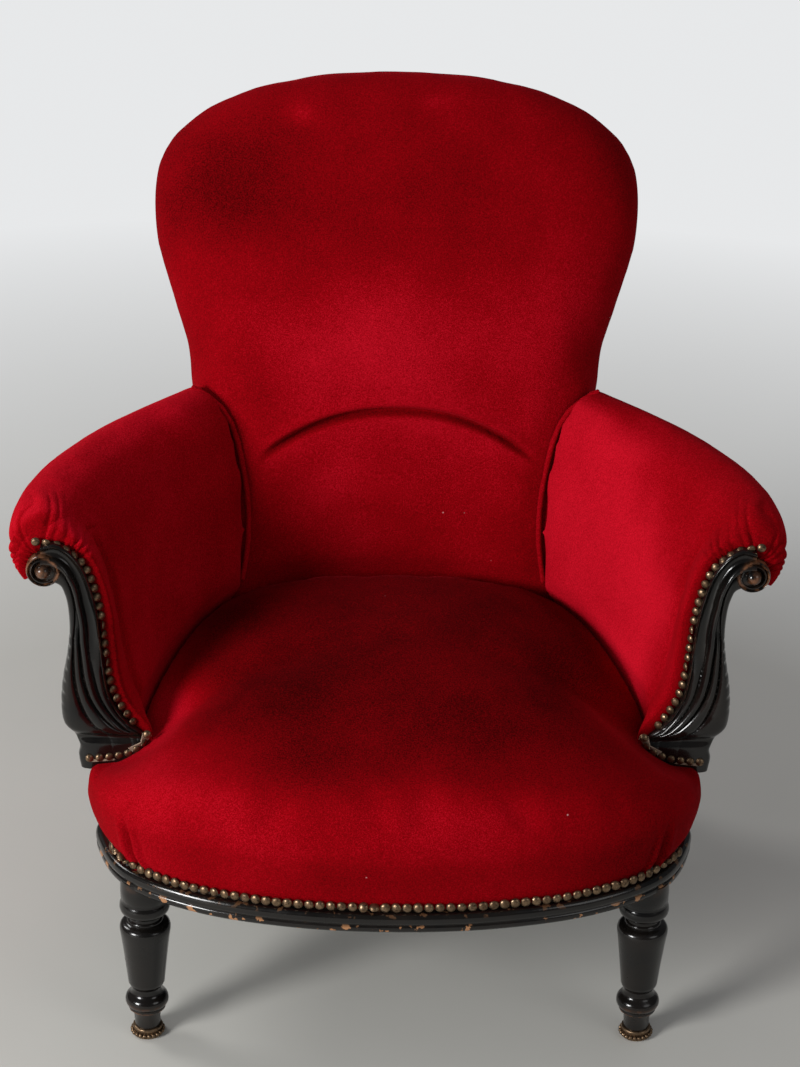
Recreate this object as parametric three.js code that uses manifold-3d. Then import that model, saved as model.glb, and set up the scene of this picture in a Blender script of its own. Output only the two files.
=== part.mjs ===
// A low drawing-room armchair: sprung and stuffed seat, balloon back and rolled arms on a
// beech frame, with turned front legs, carved arm supports and a bowed front rail left in
// show wood. Millimetres, +Z up. The sitter faces -Y, and left and right are as seen from
// the front, so right is +X. The origin is on the floor under the middle of the chair.

import * as THREE from 'three';
import { mergeVertices } from 'three/addons/utils/BufferGeometryUtils.js';
import Module from 'manifold-3d';

const wasm = await Module();
wasm.setup();

// Fits
const clearance = 0.35;
const overrun = 30;
const sliverVolume = 10;
const shortestEdge = 0.02;

// Overall places
const overallDepth = 630.4;
const frontReach = -overallDepth / 2;
const rearReach = overallDepth / 2;

// Seat frame
const railHalfWidth = 289;
const railRearSetIn = 5;
const railBottom = 185;
const railHeight = 73;
const railTop = railBottom + railHeight;
const frontRailThickness = 52;
const sideRailThickness = 26;
const rearRailThickness = 26;
const railJointShare = 0.2269;
const mouldingProud = 8;
const mouldingHeight = 20;
const cornerBlockLeg = 62;
const cornerBlockHeight = 38;
const cornerBlockLap = 6;
const hessianInset = 12;
const bottomClothInset = 12;

// Front legs and their brass rings
const legSpacing = 494;
const legSetbackShare = 0.16153;
const legRadius = 25.5;
const legPinRadius = 11;
const legPinLength = 34;
const ringRadius = 17;
const ringHeight = 11;
const ringSeatDepth = 7;
const ringBeads = 18;
const ringValleyShare = 0.9;

// Rear legs, which run up as the stiles of the back
const stileWidth = 38;
const stileDepth = 28;
const rearFootSize = 27;
const rearFootHalfSpacing = 204;

// Back
const overallHeight = 867;
const backTop = overallHeight;
const backArchRise = 132;
const backShoulder = backTop - backArchRise;
const stileDrop = 115;
const stileTop = backTop - stileDrop;
const backHalfWidth = 253.5;
const rearLegRake = 93;
const backRearAtSeat = rearReach - rearLegRake;
const backRearLean = 0.11;
const backFrameInset = 20;
const backFrameRoom = 6;
const crestRailDepth = 38;
const backFrameSetIn = 6;
const lowerRailBottom = 296;
const lowerRailHeight = 40;
const rimDrop = 42;
const rimInset = 10;
const rimSwell = 2;
const rimSwellShare = 0.6;
const backThickness = 125;
const backWrap = 24;
const lumbarSide = 374;
const lumbarTop = 529;
const lumbarTuckHalfWidth = 143;
const armSeamHalfWidth = 158;
const lumbarTuckDepth = 9;

// Arms
const armHalfWidth = 382;
const armTop = 552;
const armSupportShare = 0.31544;
const armSupportDepth = 40;
const skirtLap = 14;
const armSupportBorder = 8;
const armSupportBevel = 5;
const armSupportHeight = 247;
const armSupportReach = 360;
const scrollRadius = 17;
const scrollRise = 219;
const scrollBeadRadius = 7.5;
const armRailWidth = 30;
const armRailHeight = 26;
const panelThickness = 3;
const pipingRadius = 3.6;

// Seat stuffing and springs
const seatBottom = railBottom + mouldingHeight + 2;
const seatDome = 366;
const seatBulge = 13;
const seatRoll = 45;
const coverThickness = 2.6;
const coverOutset = coverThickness + 3 * clearance;
const hessianThickness = 1.6;
const webbingThickness = 2;
const backStrapSpacing = 96;
const webbingWidth = 52;
const bottomClothThickness = 1.2;
const springRadius = 32;
const springWireRadius = 1.9;
const springCurls = 3;
const springSpacingAcross = 118;
const springSpacingShare = 0.2346;
const springRowsShare = 0.2674;

// Nails
const nailRadius = 4.4;
const nailHeight = 3;
const nailPitch = 12;
const gimpWidth = 8.4;
const gimpThickness = 1.3;

// Where the frame starts: the seat cover swells past its front rail
const frontSwellShare = 0.67;
const railFront = frontReach + coverOutset + frontSwellShare * seatBulge;
const railRear = backRearAtSeat - railRearSetIn;
const railFrameDepth = railRear - railFront;
const armSupportFront = railFront + armSupportShare * railFrameDepth;
const skirtEnd = armSupportFront + skirtLap;
const springRowsFront = railFront + springRowsShare * railFrameDepth;
const springSpacingDeep = springSpacingShare * railFrameDepth;
const legSetback = legSetbackShare * railFrameDepth;
const railJointSetback = railJointShare * railFrameDepth;

const V = (x, y, z) => new THREE.Vector3(x, y, z);
const mix = THREE.MathUtils.lerp;

const finishes = {
  velvet: { color: 0x8e0d1c, roughness: 0.85, metalness: 0 },
  ebonised: { color: 0x15120f, roughness: 0.35, metalness: 0 },
  beech: { color: 0xb98f5e, roughness: 0.7, metalness: 0 },
  brass: { color: 0x7d5c33, roughness: 0.45, metalness: 0.9 },
  stuffing: { color: 0x5b4a38, roughness: 1, metalness: 0 },
  jute: { color: 0xa58a5c, roughness: 1, metalness: 0 },
  steel: { color: 0x8a8d90, roughness: 0.5, metalness: 0.9 },
  lining: { color: 0x1d1c1d, roughness: 0.95, metalness: 0 },
};

// Solids
function closedSurface(places, faces) {
  let sixVolumes = 0;
  for (let i = 0; i < faces.length; i += 3) {
    const [a, b, c] = [places[faces[i]], places[faces[i + 1]], places[faces[i + 2]]];
    sixVolumes += a.dot(b.clone().cross(c));
  }
  const turned = sixVolumes < 0 ? faces.slice().reverse() : faces;
  const geometry = new THREE.BufferGeometry();
  geometry.setAttribute('position', new THREE.Float32BufferAttribute(places.flatMap((p) => p.toArray()), 3));
  geometry.setIndex(turned);
  return geometry;
}

const middleOf = (ring) => ring.reduce((sum, p) => sum.add(p), V(0, 0, 0)).divideScalar(ring.length);

// A closed solid through rings of equal length, each end closed on its own middle.
function loft(rings) {
  const size = rings[0].length;
  const last = (rings.length - 1) * size;
  const near = rings.length * size;
  const far = near + 1;
  const faces = [];
  for (let i = 0; i < size; i += 1) {
    const next = (i + 1) % size;
    for (let row = 0; row < last; row += size) {
      const [a, b] = [row + i, row + next];
      faces.push(a, b, b + size, a, b + size, a + size);
    }
    faces.push(next, i, near, last + i, last + next, far);
  }
  return closedSurface([...rings.flat(), middleOf(rings[0]), middleOf(rings[rings.length - 1])], faces);
}

function plain(geometry) {
  const copy = geometry.clone();
  copy.deleteAttribute('normal');
  copy.deleteAttribute('uv');
  const merged = mergeVertices(copy);
  const faces = [];
  for (let i = 0; i < merged.index.count; i += 3) {
    const [a, b, c] = [merged.index.getX(i), merged.index.getX(i + 1), merged.index.getX(i + 2)];
    if (a !== b && b !== c && c !== a) faces.push(a, b, c);
  }
  merged.setIndex(new THREE.Uint32BufferAttribute(faces, 1));
  return merged;
}

function solid(geometry) {
  const merged = plain(geometry);
  return new wasm.Manifold(new wasm.Mesh({
    numProp: 3,
    vertProperties: merged.attributes.position.array,
    triVerts: merged.index.array,
  }));
}

// Draws the two ends of each very short edge together, and drops the faces that this closes.
function welded(places, faces) {
  const root = places.map((p, i) => i);
  const find = (i) => (root[i] === i ? i : find(root[i]));
  for (let i = 0; i < faces.length; i += 1) {
    const [a, b] = [find(faces[i]), find(faces[i % 3 === 2 ? i - 2 : i + 1])];
    const isShort = places[a].distanceTo(places[b]) < shortestEdge;
    if (a !== b && isShort) root[Math.max(a, b)] = Math.min(a, b);
  }
  const kept = new Map();
  for (let i = 0; i < faces.length; i += 3) {
    const corners = [find(faces[i]), find(faces[i + 1]), find(faces[i + 2])];
    const key = corners.slice().sort((a, b) => a - b).join(' ');
    if (new Set(corners).size < 3) continue;
    if (kept.has(key)) kept.delete(key);
    else kept.set(key, corners);
  }
  return [...kept.values()].flat();
}

function shape(body) {
  const mesh = body.getMesh();
  const numbers = mesh.vertProperties;
  const places = Array.from({ length: mesh.numVert }, (_, i) => V(...numbers.slice(3 * i, 3 * i + 3)));
  const geometry = new THREE.BufferGeometry();
  geometry.setAttribute('position', new THREE.Float32BufferAttribute(numbers, 3));
  geometry.setIndex(welded(places, mesh.triVerts));
  return geometry;
}

function withoutSlivers(body) {
  const pieces = body.simplify(shortestEdge).decompose();
  return wasm.Manifold.compose(pieces.filter((piece) => piece.volume() > sliverVolume));
}

function cut(geometry, ...tools) {
  return shape(withoutSlivers(tools.reduce((body, tool) => body.subtract(solid(tool)), solid(geometry))));
}

function join(geometry, ...others) {
  return shape(others.reduce((body, other) => body.add(solid(other)), solid(geometry)));
}

const keepInside = (geometry, tool) => shape(solid(geometry).intersect(solid(tool)));

// Moves every face out by a distance, or in where it is negative, with its corners kept sharp.
function grown(geometry, distance) {
  const merged = plain(geometry);
  const places = merged.attributes.position;
  const index = merged.index.array;
  const normals = Array.from({ length: places.count }, () => []);
  const at = (i) => V(places.getX(i), places.getY(i), places.getZ(i));
  for (let i = 0; i < index.length; i += 3) {
    const corners = [index[i], index[i + 1], index[i + 2]];
    const [a, b, c] = corners.map(at);
    const normal = b.sub(a).cross(c.sub(a));
    if (normal.lengthSq() === 0) continue;
    normal.normalize();
    corners.forEach((corner) => {
      const known = normals[corner].some((other) => other.dot(normal) > 0.999);
      if (!known) normals[corner].push(normal);
    });
  }
  normals.forEach((group, i) => {
    const m = [0, 0, 0, 0, 0, 0, 0, 0, 0];
    const sum = V(0, 0, 0);
    group.forEach((n) => {
      const parts = n.toArray();
      for (let row = 0; row < 3; row += 1) {
        for (let column = 0; column < 3; column += 1) m[3 * row + column] += parts[row] * parts[column];
      }
      sum.addScaledVector(n, distance);
    });
    [0, 4, 8].forEach((diagonal) => { m[diagonal] += 0.02; });
    const move = sum.applyMatrix3(new THREE.Matrix3().fromArray(m).invert());
    places.setXYZ(i, ...at(i).add(move).toArray());
  });
  return merged;
}

function mirrored(geometry) {
  const copy = plain(geometry);
  const places = copy.attributes.position;
  for (let i = 0; i < places.count; i += 1) places.setX(i, -places.getX(i));
  copy.setIndex(Array.from(copy.index.array).reverse());
  return copy;
}

function block(low, high) {
  const size = high.clone().sub(low);
  const middle = low.clone().add(high).multiplyScalar(0.5);
  return new THREE.BoxGeometry(...size.toArray()).translate(...middle.toArray());
}

// An outline in X and Y, raised from one height to another.
function prism(outline, bottom, top) {
  const flat = new THREE.Shape(outline.map((p) => new THREE.Vector2(p.x, p.y)));
  const raised = new THREE.ExtrudeGeometry(flat, { depth: top - bottom, bevelEnabled: false });
  return raised.translate(0, 0, bottom);
}

const curveOf = (places) => new THREE.CatmullRomCurve3(places, false, 'centripetal');
const smooth = (places, steps) => curveOf(places).getPoints(steps);
const evenly = (places, steps) => curveOf(places).getSpacedPoints(steps);

// The value of a smooth line through [key, value] pairs.
function along(pairs, key) {
  const last = pairs.length - 1;
  if (key <= pairs[0][0]) return pairs[0][1];
  if (key >= pairs[last][0]) return pairs[last][1];
  const i = pairs.findIndex((pair) => pair[0] > key);
  const [[k0, v0], [k1, v1]] = [pairs[i - 1], pairs[i]];
  const slopeAt = (j) => {
    const [before, after] = [pairs[Math.max(j - 1, 0)], pairs[Math.min(j + 1, last)]];
    return (after[1] - before[1]) / (after[0] - before[0]);
  };
  const span = k1 - k0;
  const t = (key - k0) / span;
  const [t2, t3] = [t * t, t * t * t];
  return (2 * t3 - 3 * t2 + 1) * v0 + (t3 - 2 * t2 + t) * span * slopeAt(i - 1)
    + (3 * t2 - 2 * t3) * v1 + (t3 - t2) * span * slopeAt(i);
}

const chair = new THREE.Group();

function add(name, geometry, finish) {
  const clean = plain(geometry);
  clean.computeVertexNormals();
  const mesh = new THREE.Mesh(clean, new THREE.MeshStandardMaterial(finishes[finish]));
  mesh.name = name;
  chair.add(mesh);
}

function addPair(name, geometry, finish) {
  add(`${name}_right`, geometry, finish);
  add(`${name}_left`, mirrored(geometry), finish);
}

// Plan of the seat frame: the right half from the front middle to the rear corner, as shares
// of the half width and of the depth of the frame.
const railPlanShares = [
  [0, 0], [0.332, 0.0135], [0.65, 0.06], [0.896, 0.146], [1, 0.267],
  [0.997, 0.346], [0.952, 0.538], [0.865, 0.769], [0.768, 1],
];
const planSteps = 2;

const planPlace = ([x, y]) => V(x * railHalfWidth, railFront + y * railFrameDepth, 0);

// A smooth right half from the front middle, with the same steps between each two shares.
function halfPlan(shares) {
  const control = shares.map(planPlace);
  const whole = [V(-control[1].x, control[1].y, 0), ...control];
  return smooth(whole, planSteps * (whole.length - 1)).slice(planSteps);
}

function movedOut(half, distance) {
  return half.map((p, i) => {
    const before = half[Math.max(i - 1, 0)];
    const after = half[Math.min(i + 1, half.length - 1)];
    const tangent = i === 0 ? V(1, 0, 0) : after.clone().sub(before).normalize();
    return V(p.x + tangent.y * distance, p.y - tangent.x * distance, 0);
  });
}

const railHalfPlan = (outset) => movedOut(halfPlan(railPlanShares), outset);

function railPlan(outset) {
  const half = railHalfPlan(outset);
  return [...half, ...half.slice(1).reverse().map((p) => V(-p.x, p.y, 0))];
}

const jointLine = railFront + railJointSetback;
const farHalf = railHalfWidth + armHalfWidth;

function band(outset, inset, bottom, top) {
  const outer = prism(railPlan(outset), bottom, top);
  const inner = prism(railPlan(-inset), bottom - overrun, top + overrun);
  return cut(outer, inner);
}

// Rear legs and stiles
const rearFace = (z) => backRearAtSeat + backRearLean * (z - railTop);
const backSideShares = [
  [0, 0.82], [0.18, 0.825], [0.4, 0.836], [0.59, 0.85], [0.657, 0.85],
  [0.71, 0.865], [0.815, 0.935], [0.9, 0.982], [1, 1],
];
const backSide = (z) => backHalfWidth * along(backSideShares, (z - railTop) / (backShoulder - railTop));

function rectangle(middle, width, depth) {
  const [x, y] = [width / 2, depth / 2];
  return [[-x, -y], [x, -y], [x, y], [-x, y]].map(([dx, dy]) => V(middle.x + dx, middle.y + dy, middle.z));
}

const stileInset = backFrameInset + stileWidth / 2;
const stileSetIn = backFrameSetIn + stileDepth / 2;

function rearLeg() {
  const shares = [0, 0.25, 0.5, 0.78, 1];
  const seatMiddle = V(backSide(railTop) - stileInset, rearFace(railTop) - stileSetIn, railTop);
  const footMiddle = V(rearFootHalfSpacing, rearReach - rearFootSize / 2, 0);
  const rakeShares = [[0, 0], [0.25, 0.38], [0.5, 0.68], [0.78, 0.93], [1, 1]];
  const lower = shares.map((share) => {
    const rake = along(rakeShares, share);
    const place = footMiddle.clone().lerp(seatMiddle, share).setY(mix(footMiddle.y, seatMiddle.y, rake));
    return rectangle(place, mix(rearFootSize, stileWidth, share), mix(rearFootSize, stileDepth, share));
  });
  const steps = 8;
  const upper = Array.from({ length: steps }, (_, i) => {
    const z = mix(railTop, stileTop, (i + 1) / steps);
    return rectangle(V(backSide(z) - stileInset, rearFace(z) - stileSetIn, z), stileWidth, stileDepth);
  });
  return loft([...lower, ...upper]);
}
const rearLegShape = rearLeg();
addPair('rear_leg_and_stile', rearLegShape, 'ebonised');
const bothRearLegs = [grown(rearLegShape, clearance), grown(mirrored(rearLegShape), clearance)];

// Front legs, turned, each with a pin that stands in the front rail
const legHeight = railBottom - clearance - (ringHeight - ringSeatDepth);
const legProfileShares = [
  [0, 0.5], [0.135, 0.5], [0.14, 0.8], [0.17, 0.87], [0.205, 0.87], [0.235, 0.8], [0.24, 0.66],
  [0.3, 0.58], [0.345, 0.72], [0.38, 0.76], [0.47, 0.82], [0.62, 0.93], [0.73, 1], [0.78, 0.95],
  [0.82, 0.78], [0.86, 0.75], [0.885, 0.92], [0.93, 0.98], [0.97, 0.92], [1, 0.9],
];
const legX = legSpacing / 2;
const legY = railFront + legSetback;

function frontLeg() {
  const bottom = ringHeight - ringSeatDepth;
  const side = legProfileShares.map(([up, radius]) => [radius * legRadius, bottom + up * legHeight]);
  const [pinFoot, pinTop] = [railBottom - clearance, railBottom - clearance + legPinLength];
  const outline = [[0, bottom], ...side, [legPinRadius, pinFoot], [legPinRadius, pinTop], [0, pinTop]];
  const profile = outline.map(([radius, up]) => new THREE.Vector2(radius, up));
  return new THREE.LatheGeometry(profile, 12).rotateX(Math.PI / 2).translate(legX, legY, 0);
}
addPair('front_leg', frontLeg(), 'ebonised');

function footRing() {
  const outline = Array.from({ length: ringBeads * 2 }, (_, i) => {
    const angle = (i * Math.PI) / ringBeads;
    const radius = ringRadius * (i % 2 === 0 ? 1 : ringValleyShare);
    return V(Math.cos(angle) * radius, Math.sin(angle) * radius, 0);
  });
  const stem = legProfileShares[0][1] * legRadius + clearance;
  const seat = new THREE.CylinderGeometry(stem, stem, overrun, 20).rotateX(Math.PI / 2);
  seat.translate(0, 0, ringHeight - ringSeatDepth - clearance + overrun / 2);
  return cut(prism(outline, 0, ringHeight), seat).translate(legX, legY, 0);
}
addPair('brass_foot_ring', footRing(), 'brass');

// Seat rails
function pinHole(x) {
  const radius = legPinRadius + clearance;
  const hole = new THREE.CylinderGeometry(radius, radius, legPinLength * 2, 20).rotateX(Math.PI / 2);
  return hole.translate(x, legY, railBottom + clearance);
}
const frontOnly = block(V(-farHalf, frontReach - overrun, 0), V(farHalf, jointLine, railTop + overrun));
const frontRail = keepInside(band(0, frontRailThickness, railBottom, railTop), frontOnly);
add('front_seat_rail', cut(frontRail, pinHole(legX), pinHole(-legX)), 'beech');

const rightBehind = block(V(0, jointLine + clearance, 0), V(farHalf, railRear, railTop + overrun));
const sideBand = keepInside(band(0, sideRailThickness, railBottom, railTop), rightBehind);
const rearEnd = block(V(0, rearFace(railTop) - stileSetIn, 0), V(farHalf, rearReach, railTop + overrun));
const sideRail = cut(sideBand, rearEnd, ...bothRearLegs);
addPair('side_seat_rail', sideRail, 'beech');

const rearRailFront = rearFace(railBottom) - backFrameSetIn - clearance - rearRailThickness;
const rearRailSpan = block(V(-backSide(railTop) + stileInset, rearRailFront, railBottom),
  V(backSide(railTop) - stileInset, rearRailFront + rearRailThickness, railTop));
add('rear_seat_rail', cut(rearRailSpan, ...bothRearLegs), 'ebonised');

// Corner blocks, glued across the inner corners of the seat frame
function cornerBlock(corner, alongX, alongY) {
  const outline = [corner, V(corner.x + alongX, corner.y, 0), V(corner.x, corner.y + alongY, 0)];
  return prism(outline, railTop - cornerBlockHeight, railTop);
}
const frontRailGrown = grown(frontRail, clearance);
const sideRailGrown = grown(sideRail, clearance);
const frontCorner = V(railHalfWidth - sideRailThickness + cornerBlockLap, jointLine - cornerBlockLap, 0);
const frontBlock = cornerBlock(frontCorner, -cornerBlockLeg, cornerBlockLeg);
addPair('front_corner_block', cut(frontBlock, frontRailGrown, sideRailGrown), 'beech');
const rearCorner = V(backSide(railTop) + cornerBlockLap, rearRailFront + cornerBlockLap, 0);
const rearBlock = cornerBlock(rearCorner, -cornerBlockLeg, -cornerBlockLeg);
const rearBlockShape = cut(rearBlock, sideRailGrown, grown(rearRailSpan, clearance), ...bothRearLegs);
addPair('rear_corner_block', rearBlockShape, 'beech');

// Show-wood moulding round the foot of the rails
const mouldingShares = [[0, 0], [0.75, 0], [1, 0.22], [1, 0.72], [0.7, 1], [0, 1]];

function mouldingAlong(path) {
  return loft(path.map((p, i) => {
    const before = path[Math.max(i - 1, 0)];
    const after = path[Math.min(i + 1, path.length - 1)];
    const tangent = after.clone().sub(before).normalize();
    const out = V(tangent.y, -tangent.x, 0);
    const reach = mouldingProud - clearance;
    const place = (x) => p.clone().addScaledVector(out, clearance + x * reach);
    return mouldingShares.map(([x, z]) => place(x).setZ(railBottom + z * mouldingHeight));
  }));
}

const halfPath = railHalfPlan(0);
const frontHalfPath = halfPath.filter((p) => p.y < jointLine);
const frontPath = [...frontHalfPath.slice(1).reverse().map((p) => V(-p.x, p.y, 0)), ...frontHalfPath];
const sidePath = halfPath.filter((p) => p.x > railHalfWidth / 2 && p.y > jointLine);
add('front_rail_moulding', mouldingAlong(frontPath), 'ebonised');
addPair('side_rail_moulding', mouldingAlong(sidePath), 'ebonised');

// Back: its outline, and the solid that cover and stuffing share
const backHeight = backTop - railTop;
const padBottom = railTop + 2 * clearance + hessianThickness;
const lowerRowShares = [0, 0.3, 0.6, 0.85];
const upperRowShares = [0.04, 0.17, 0.36, 0.55, 0.73, 0.87, 0.955, 1];
const columnShares = [0, 0.32, 0.58, 0.79, 0.92, 0.98, 1];
const thicknessShares = [
  [0, 0.72], [0.144, 0.83], [0.282, 0.97], [0.397, 1], [0.56, 0.98], [0.788, 0.81], [1, 0.65],
];
const wrapShares = [[0, -0.9], [0.144, -0.85], [0.282, -0.33], [0.43, 0.2], [0.56, 0.35], [1, 0.4]];
const archPower = 2.25;

function frontFace(x, z) {
  const share = (z - railTop) / backHeight;
  const wrap = backWrap * along(wrapShares, share) * (x / armSeamHalfWidth) ** 2;
  return rearFace(z) - backThickness * along(thicknessShares, share) + wrap;
}

function backRow(sideZ, middleZ, roundness, rim, tuck) {
  const columns = [...columnShares.slice(1).reverse().map((u) => -u), ...columnShares];
  const arch = mix(1, 1 / archPower, roundness);
  return columns.map((u) => {
    const z = sideZ + (middleZ - sideZ) * (1 - Math.abs(u) ** archPower) ** arch;
    const x = u * backSide(sideZ);
    const fade = Math.max(0, 1 - (Math.abs(x) / lumbarTuckHalfWidth) ** 4);
    const edge = 1 - Math.sqrt((1 - Math.abs(u) ** 14) * (1 - rim ** 14));
    return V(x, frontFace(x, z) + rimDrop * edge + tuck * fade, z);
  });
}

function backRows() {
  const bottom = padBottom + clearance;
  const lower = lowerRowShares.map((t) => {
    return backRow(mix(bottom, lumbarSide, t), mix(bottom, lumbarTop, t), 0, 0, 0);
  });
  const tuck = backRow(lumbarSide, lumbarTop, 0, 0, lumbarTuckDepth);
  const upper = upperRowShares.map((t, i) => {
    const swell = i === 0 ? -lumbarTuckDepth / 2 : 0;
    return backRow(mix(lumbarSide, backShoulder, t), mix(lumbarTop, backTop, t), t, t, swell);
  });
  return [...lower, tuck, ...upper];
}

// The closed edge of the back, from its lower left corner and round by the right.
function edgeLoop(rows) {
  const [top, last] = [rows.length - 1, rows[0].length - 1];
  const right = rows.slice(1, top).map((row) => row[last]);
  const left = rows.slice(1, top).map((row) => row[0]).reverse();
  return [...rows[0], ...right, ...rows[top].slice().reverse(), ...left];
}

// A loop drawn in towards its middle, by the same distance at its widest and its tallest.
function movedIn(loop, distance) {
  const box = new THREE.Box3().setFromPoints(loop);
  const [middle, half] = [box.getCenter(V(0, 0, 0)), box.getSize(V(0, 0, 0)).divideScalar(2)];
  return loop.map((p) => {
    return V(mix(p.x, middle.x, distance / half.x), p.y, mix(p.z, middle.z, distance / half.z));
  });
}

function backSolid() {
  const rows = backRows();
  const width = rows[0].length;
  const places = rows.flat();
  const faces = [];
  for (let row = 0; row < rows.length - 1; row += 1) {
    for (let column = 0; column < width - 1; column += 1) {
      const [a, b] = [row * width + column, row * width + column + 1];
      const [c, d] = [a + width, b + width];
      const isLeft = column < (width - 1) / 2;
      faces.push(...(isLeft ? [a, b, c, b, d, c] : [a, b, d, a, d, c]));
    }
  }
  const edge = edgeLoop(rows);
  const moved = (distance, share) => movedIn(edge, distance).map((p, i) => {
    const z = i < width ? edge[i].z : p.z;
    return V(p.x, mix(p.y, rearFace(z), share), z);
  });
  const middle = moved(rimSwell, rimSwellShare);
  const rear = moved(rimInset, 1);
  const edgeIndex = edge.map((p) => places.indexOf(p));
  const middleIndex = middle.map((p, i) => places.length + i);
  const rearIndex = middleIndex.map((i) => i + middle.length);
  [[edgeIndex, middleIndex], [middleIndex, rearIndex]].forEach(([near, far]) => {
    near.forEach((a, i) => {
      const j = (i + 1) % near.length;
      faces.push(a, far[i], far[j], a, far[j], near[j]);
    });
  });
  const centre = places.length + middle.length + rear.length;
  rearIndex.forEach((a, i) => faces.push(a, centre, rearIndex[(i + 1) % rear.length]));
  return closedSurface([...places, ...middle, ...rear, middleOf(rear)], faces);
}

// Leans a flat piece, drawn with Y as its depth before the rear face, to the slope of the back.
function leaned(geometry) {
  const copy = plain(geometry);
  const places = copy.attributes.position;
  for (let i = 0; i < places.count; i += 1) places.setY(i, places.getY(i) + rearFace(places.getZ(i)));
  return copy;
}

function backPlate(inset, front, rear, bottom) {
  const loop = movedIn(edgeLoop(backRows()), inset);
  const width = 2 * columnShares.length - 1;
  const ring = loop.map((p, i) => V(p.x, 0, i < width ? bottom : p.z));
  return leaned(loft([ring.map((p) => V(p.x, front, p.z)), ring.map((p) => V(p.x, rear, p.z))]));
}

const backForm = backSolid();
const backFrameFront = -backFrameSetIn - stileDepth;
const webbingFront = backFrameFront - clearance - webbingThickness;
const coreInset = backFrameInset - backFrameRoom;
const backCore = backPlate(coreInset, webbingFront - clearance, overrun, railTop - overrun);

// Crest rail and lower back rail
function crestRail() {
  const [halfSpan, rise] = [backHalfWidth - stileInset, backTop - stileInset - backShoulder];
  const steps = 22;
  const path = Array.from({ length: steps + 1 }, (_, i) => {
    const angle = (i * Math.PI) / steps;
    const across = Math.sign(Math.cos(angle)) * Math.abs(Math.cos(angle)) ** (2 / archPower);
    return V(halfSpan * across, 0, backShoulder + rise * Math.sin(angle) ** (2 / archPower));
  });
  const rings = path.map((p, i) => {
    const before = path[Math.max(i - 1, 0)];
    const after = path[Math.min(i + 1, steps)];
    const tangent = after.clone().sub(before).normalize();
    const out = V(tangent.z, 0, -tangent.x).multiplyScalar(crestRailDepth / 2);
    const [outer, inner] = [p.clone().add(out), p.clone().sub(out)];
    return [V(outer.x, backFrameFront, outer.z), V(outer.x, -backFrameSetIn, outer.z),
      V(inner.x, -backFrameSetIn, inner.z), V(inner.x, backFrameFront, inner.z)];
  });
  const below = block(V(-farHalf, -farHalf, 0), V(farHalf, farHalf, stileTop + clearance));
  return leaned(cut(loft(rings), below));
}
add('crest_rail', crestRail(), 'beech');

const lowerRailReach = backSide(lowerRailBottom) - stileInset;
const lowerRailSpan = leaned(block(V(-lowerRailReach, backFrameFront, lowerRailBottom),
  V(lowerRailReach, -backFrameSetIn, lowerRailBottom + lowerRailHeight)));
add('lower_back_rail', cut(lowerRailSpan, ...bothRearLegs), 'beech');

// Webbing of the back, tacked to the front of its frame
function backWebbing() {
  const straps = [-1, 0, 1].map((side) => {
    const x = side * backStrapSpacing;
    return block(V(x - webbingWidth / 2, webbingFront, lowerRailBottom + clearance),
      V(x + webbingWidth / 2, backFrameFront - clearance, backTop - stileInset));
  });
  const gaps = 5;
  for (let i = 1; i < gaps; i += 1) {
    const z = mix(lowerRailBottom + lowerRailHeight, backShoulder, i / (gaps - 1)) - webbingWidth;
    const reach = backSide(z) - stileInset;
    straps.push(block(V(-reach, webbingFront, z), V(reach, backFrameFront - clearance, z + webbingWidth)));
  }
  return leaned(join(...straps));
}

// Arm rails: each place as shares of the arm's half width, of its top and of the way back
const armRailPathShares = [
  [0.87, 0.866, 0], [0.805, 0.885, 0.245], [0.68, 0.9, 0.485],
  [0.577, 0.912, 0.66], [0.505, 0.915, 0.83], [0.46, 0.915, 1],
];
const armSupportRear = armSupportFront + armSupportDepth;
const stileFront = (z) => rearFace(z) - backFrameSetIn - stileDepth;

function armRail() {
  const rear = stileFront(armTop) + stileDepth / 2;
  const front = armSupportRear + clearance;
  const control = armRailPathShares.map(([x, z, y]) => V(x * armHalfWidth, mix(front, rear, y), z * armTop));
  const path = smooth(control, 10);
  const rings = path.map((p, i) => {
    const before = path[Math.max(i - 1, 0)];
    const after = path[Math.min(i + 1, path.length - 1)];
    const ahead = V(after.x - before.x, after.y - before.y, 0).normalize();
    const side = i === 0 ? V(1, 0, 0) : V(ahead.y, -ahead.x, 0);
    return [[-1, -1], [1, -1], [1, 1], [-1, 1]].map(([a, b]) => p.clone()
      .addScaledVector(side, (a * armRailWidth) / 2).add(V(0, 0, (b * armRailHeight) / 2)));
  });
  return cut(loft(rings), bothRearLegs[0]);
}
const armRailShape = armRail();
addPair('arm_rail', armRailShape, 'beech');
const armRailGrown = grown(armRailShape, clearance);
const bothArmRails = [armRailGrown, mirrored(armRailGrown)];
add('back_webbing', cut(backWebbing(), ...bothArmRails), 'jute');

// Carved arm supports, each with a scroll at its head and a foot on the rail
const supportShares = [
  [0.694, 0], [0.872, 0], [0.878, 0.07], [0.872, 0.1], [0.889, 0.158], [0.914, 0.2], [0.919, 0.26],
  [0.917, 0.356], [0.908, 0.453], [0.897, 0.538], [0.889, 0.632], [0.892, 0.729], [0.903, 0.794],
  [0.922, 0.825], [0.955, 0.818],
  [0.988, 0.84], [1, 0.887], [0.99, 0.935], [0.968, 0.972], [0.928, 1], [0.894, 0.992], [0.856, 0.955],
  [0.825, 0.891], [0.806, 0.798], [0.792, 0.696], [0.786, 0.575], [0.778, 0.433], [0.767, 0.332],
  [0.739, 0.251], [0.703, 0.186], [0.689, 0.15],
];
const innerEdgeStart = 19;
const borderFront = armSupportFront + armSupportBorder;
const nailBorder = nailRadius * 2 + 2;
const supportFoot = railTop + clearance;

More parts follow.
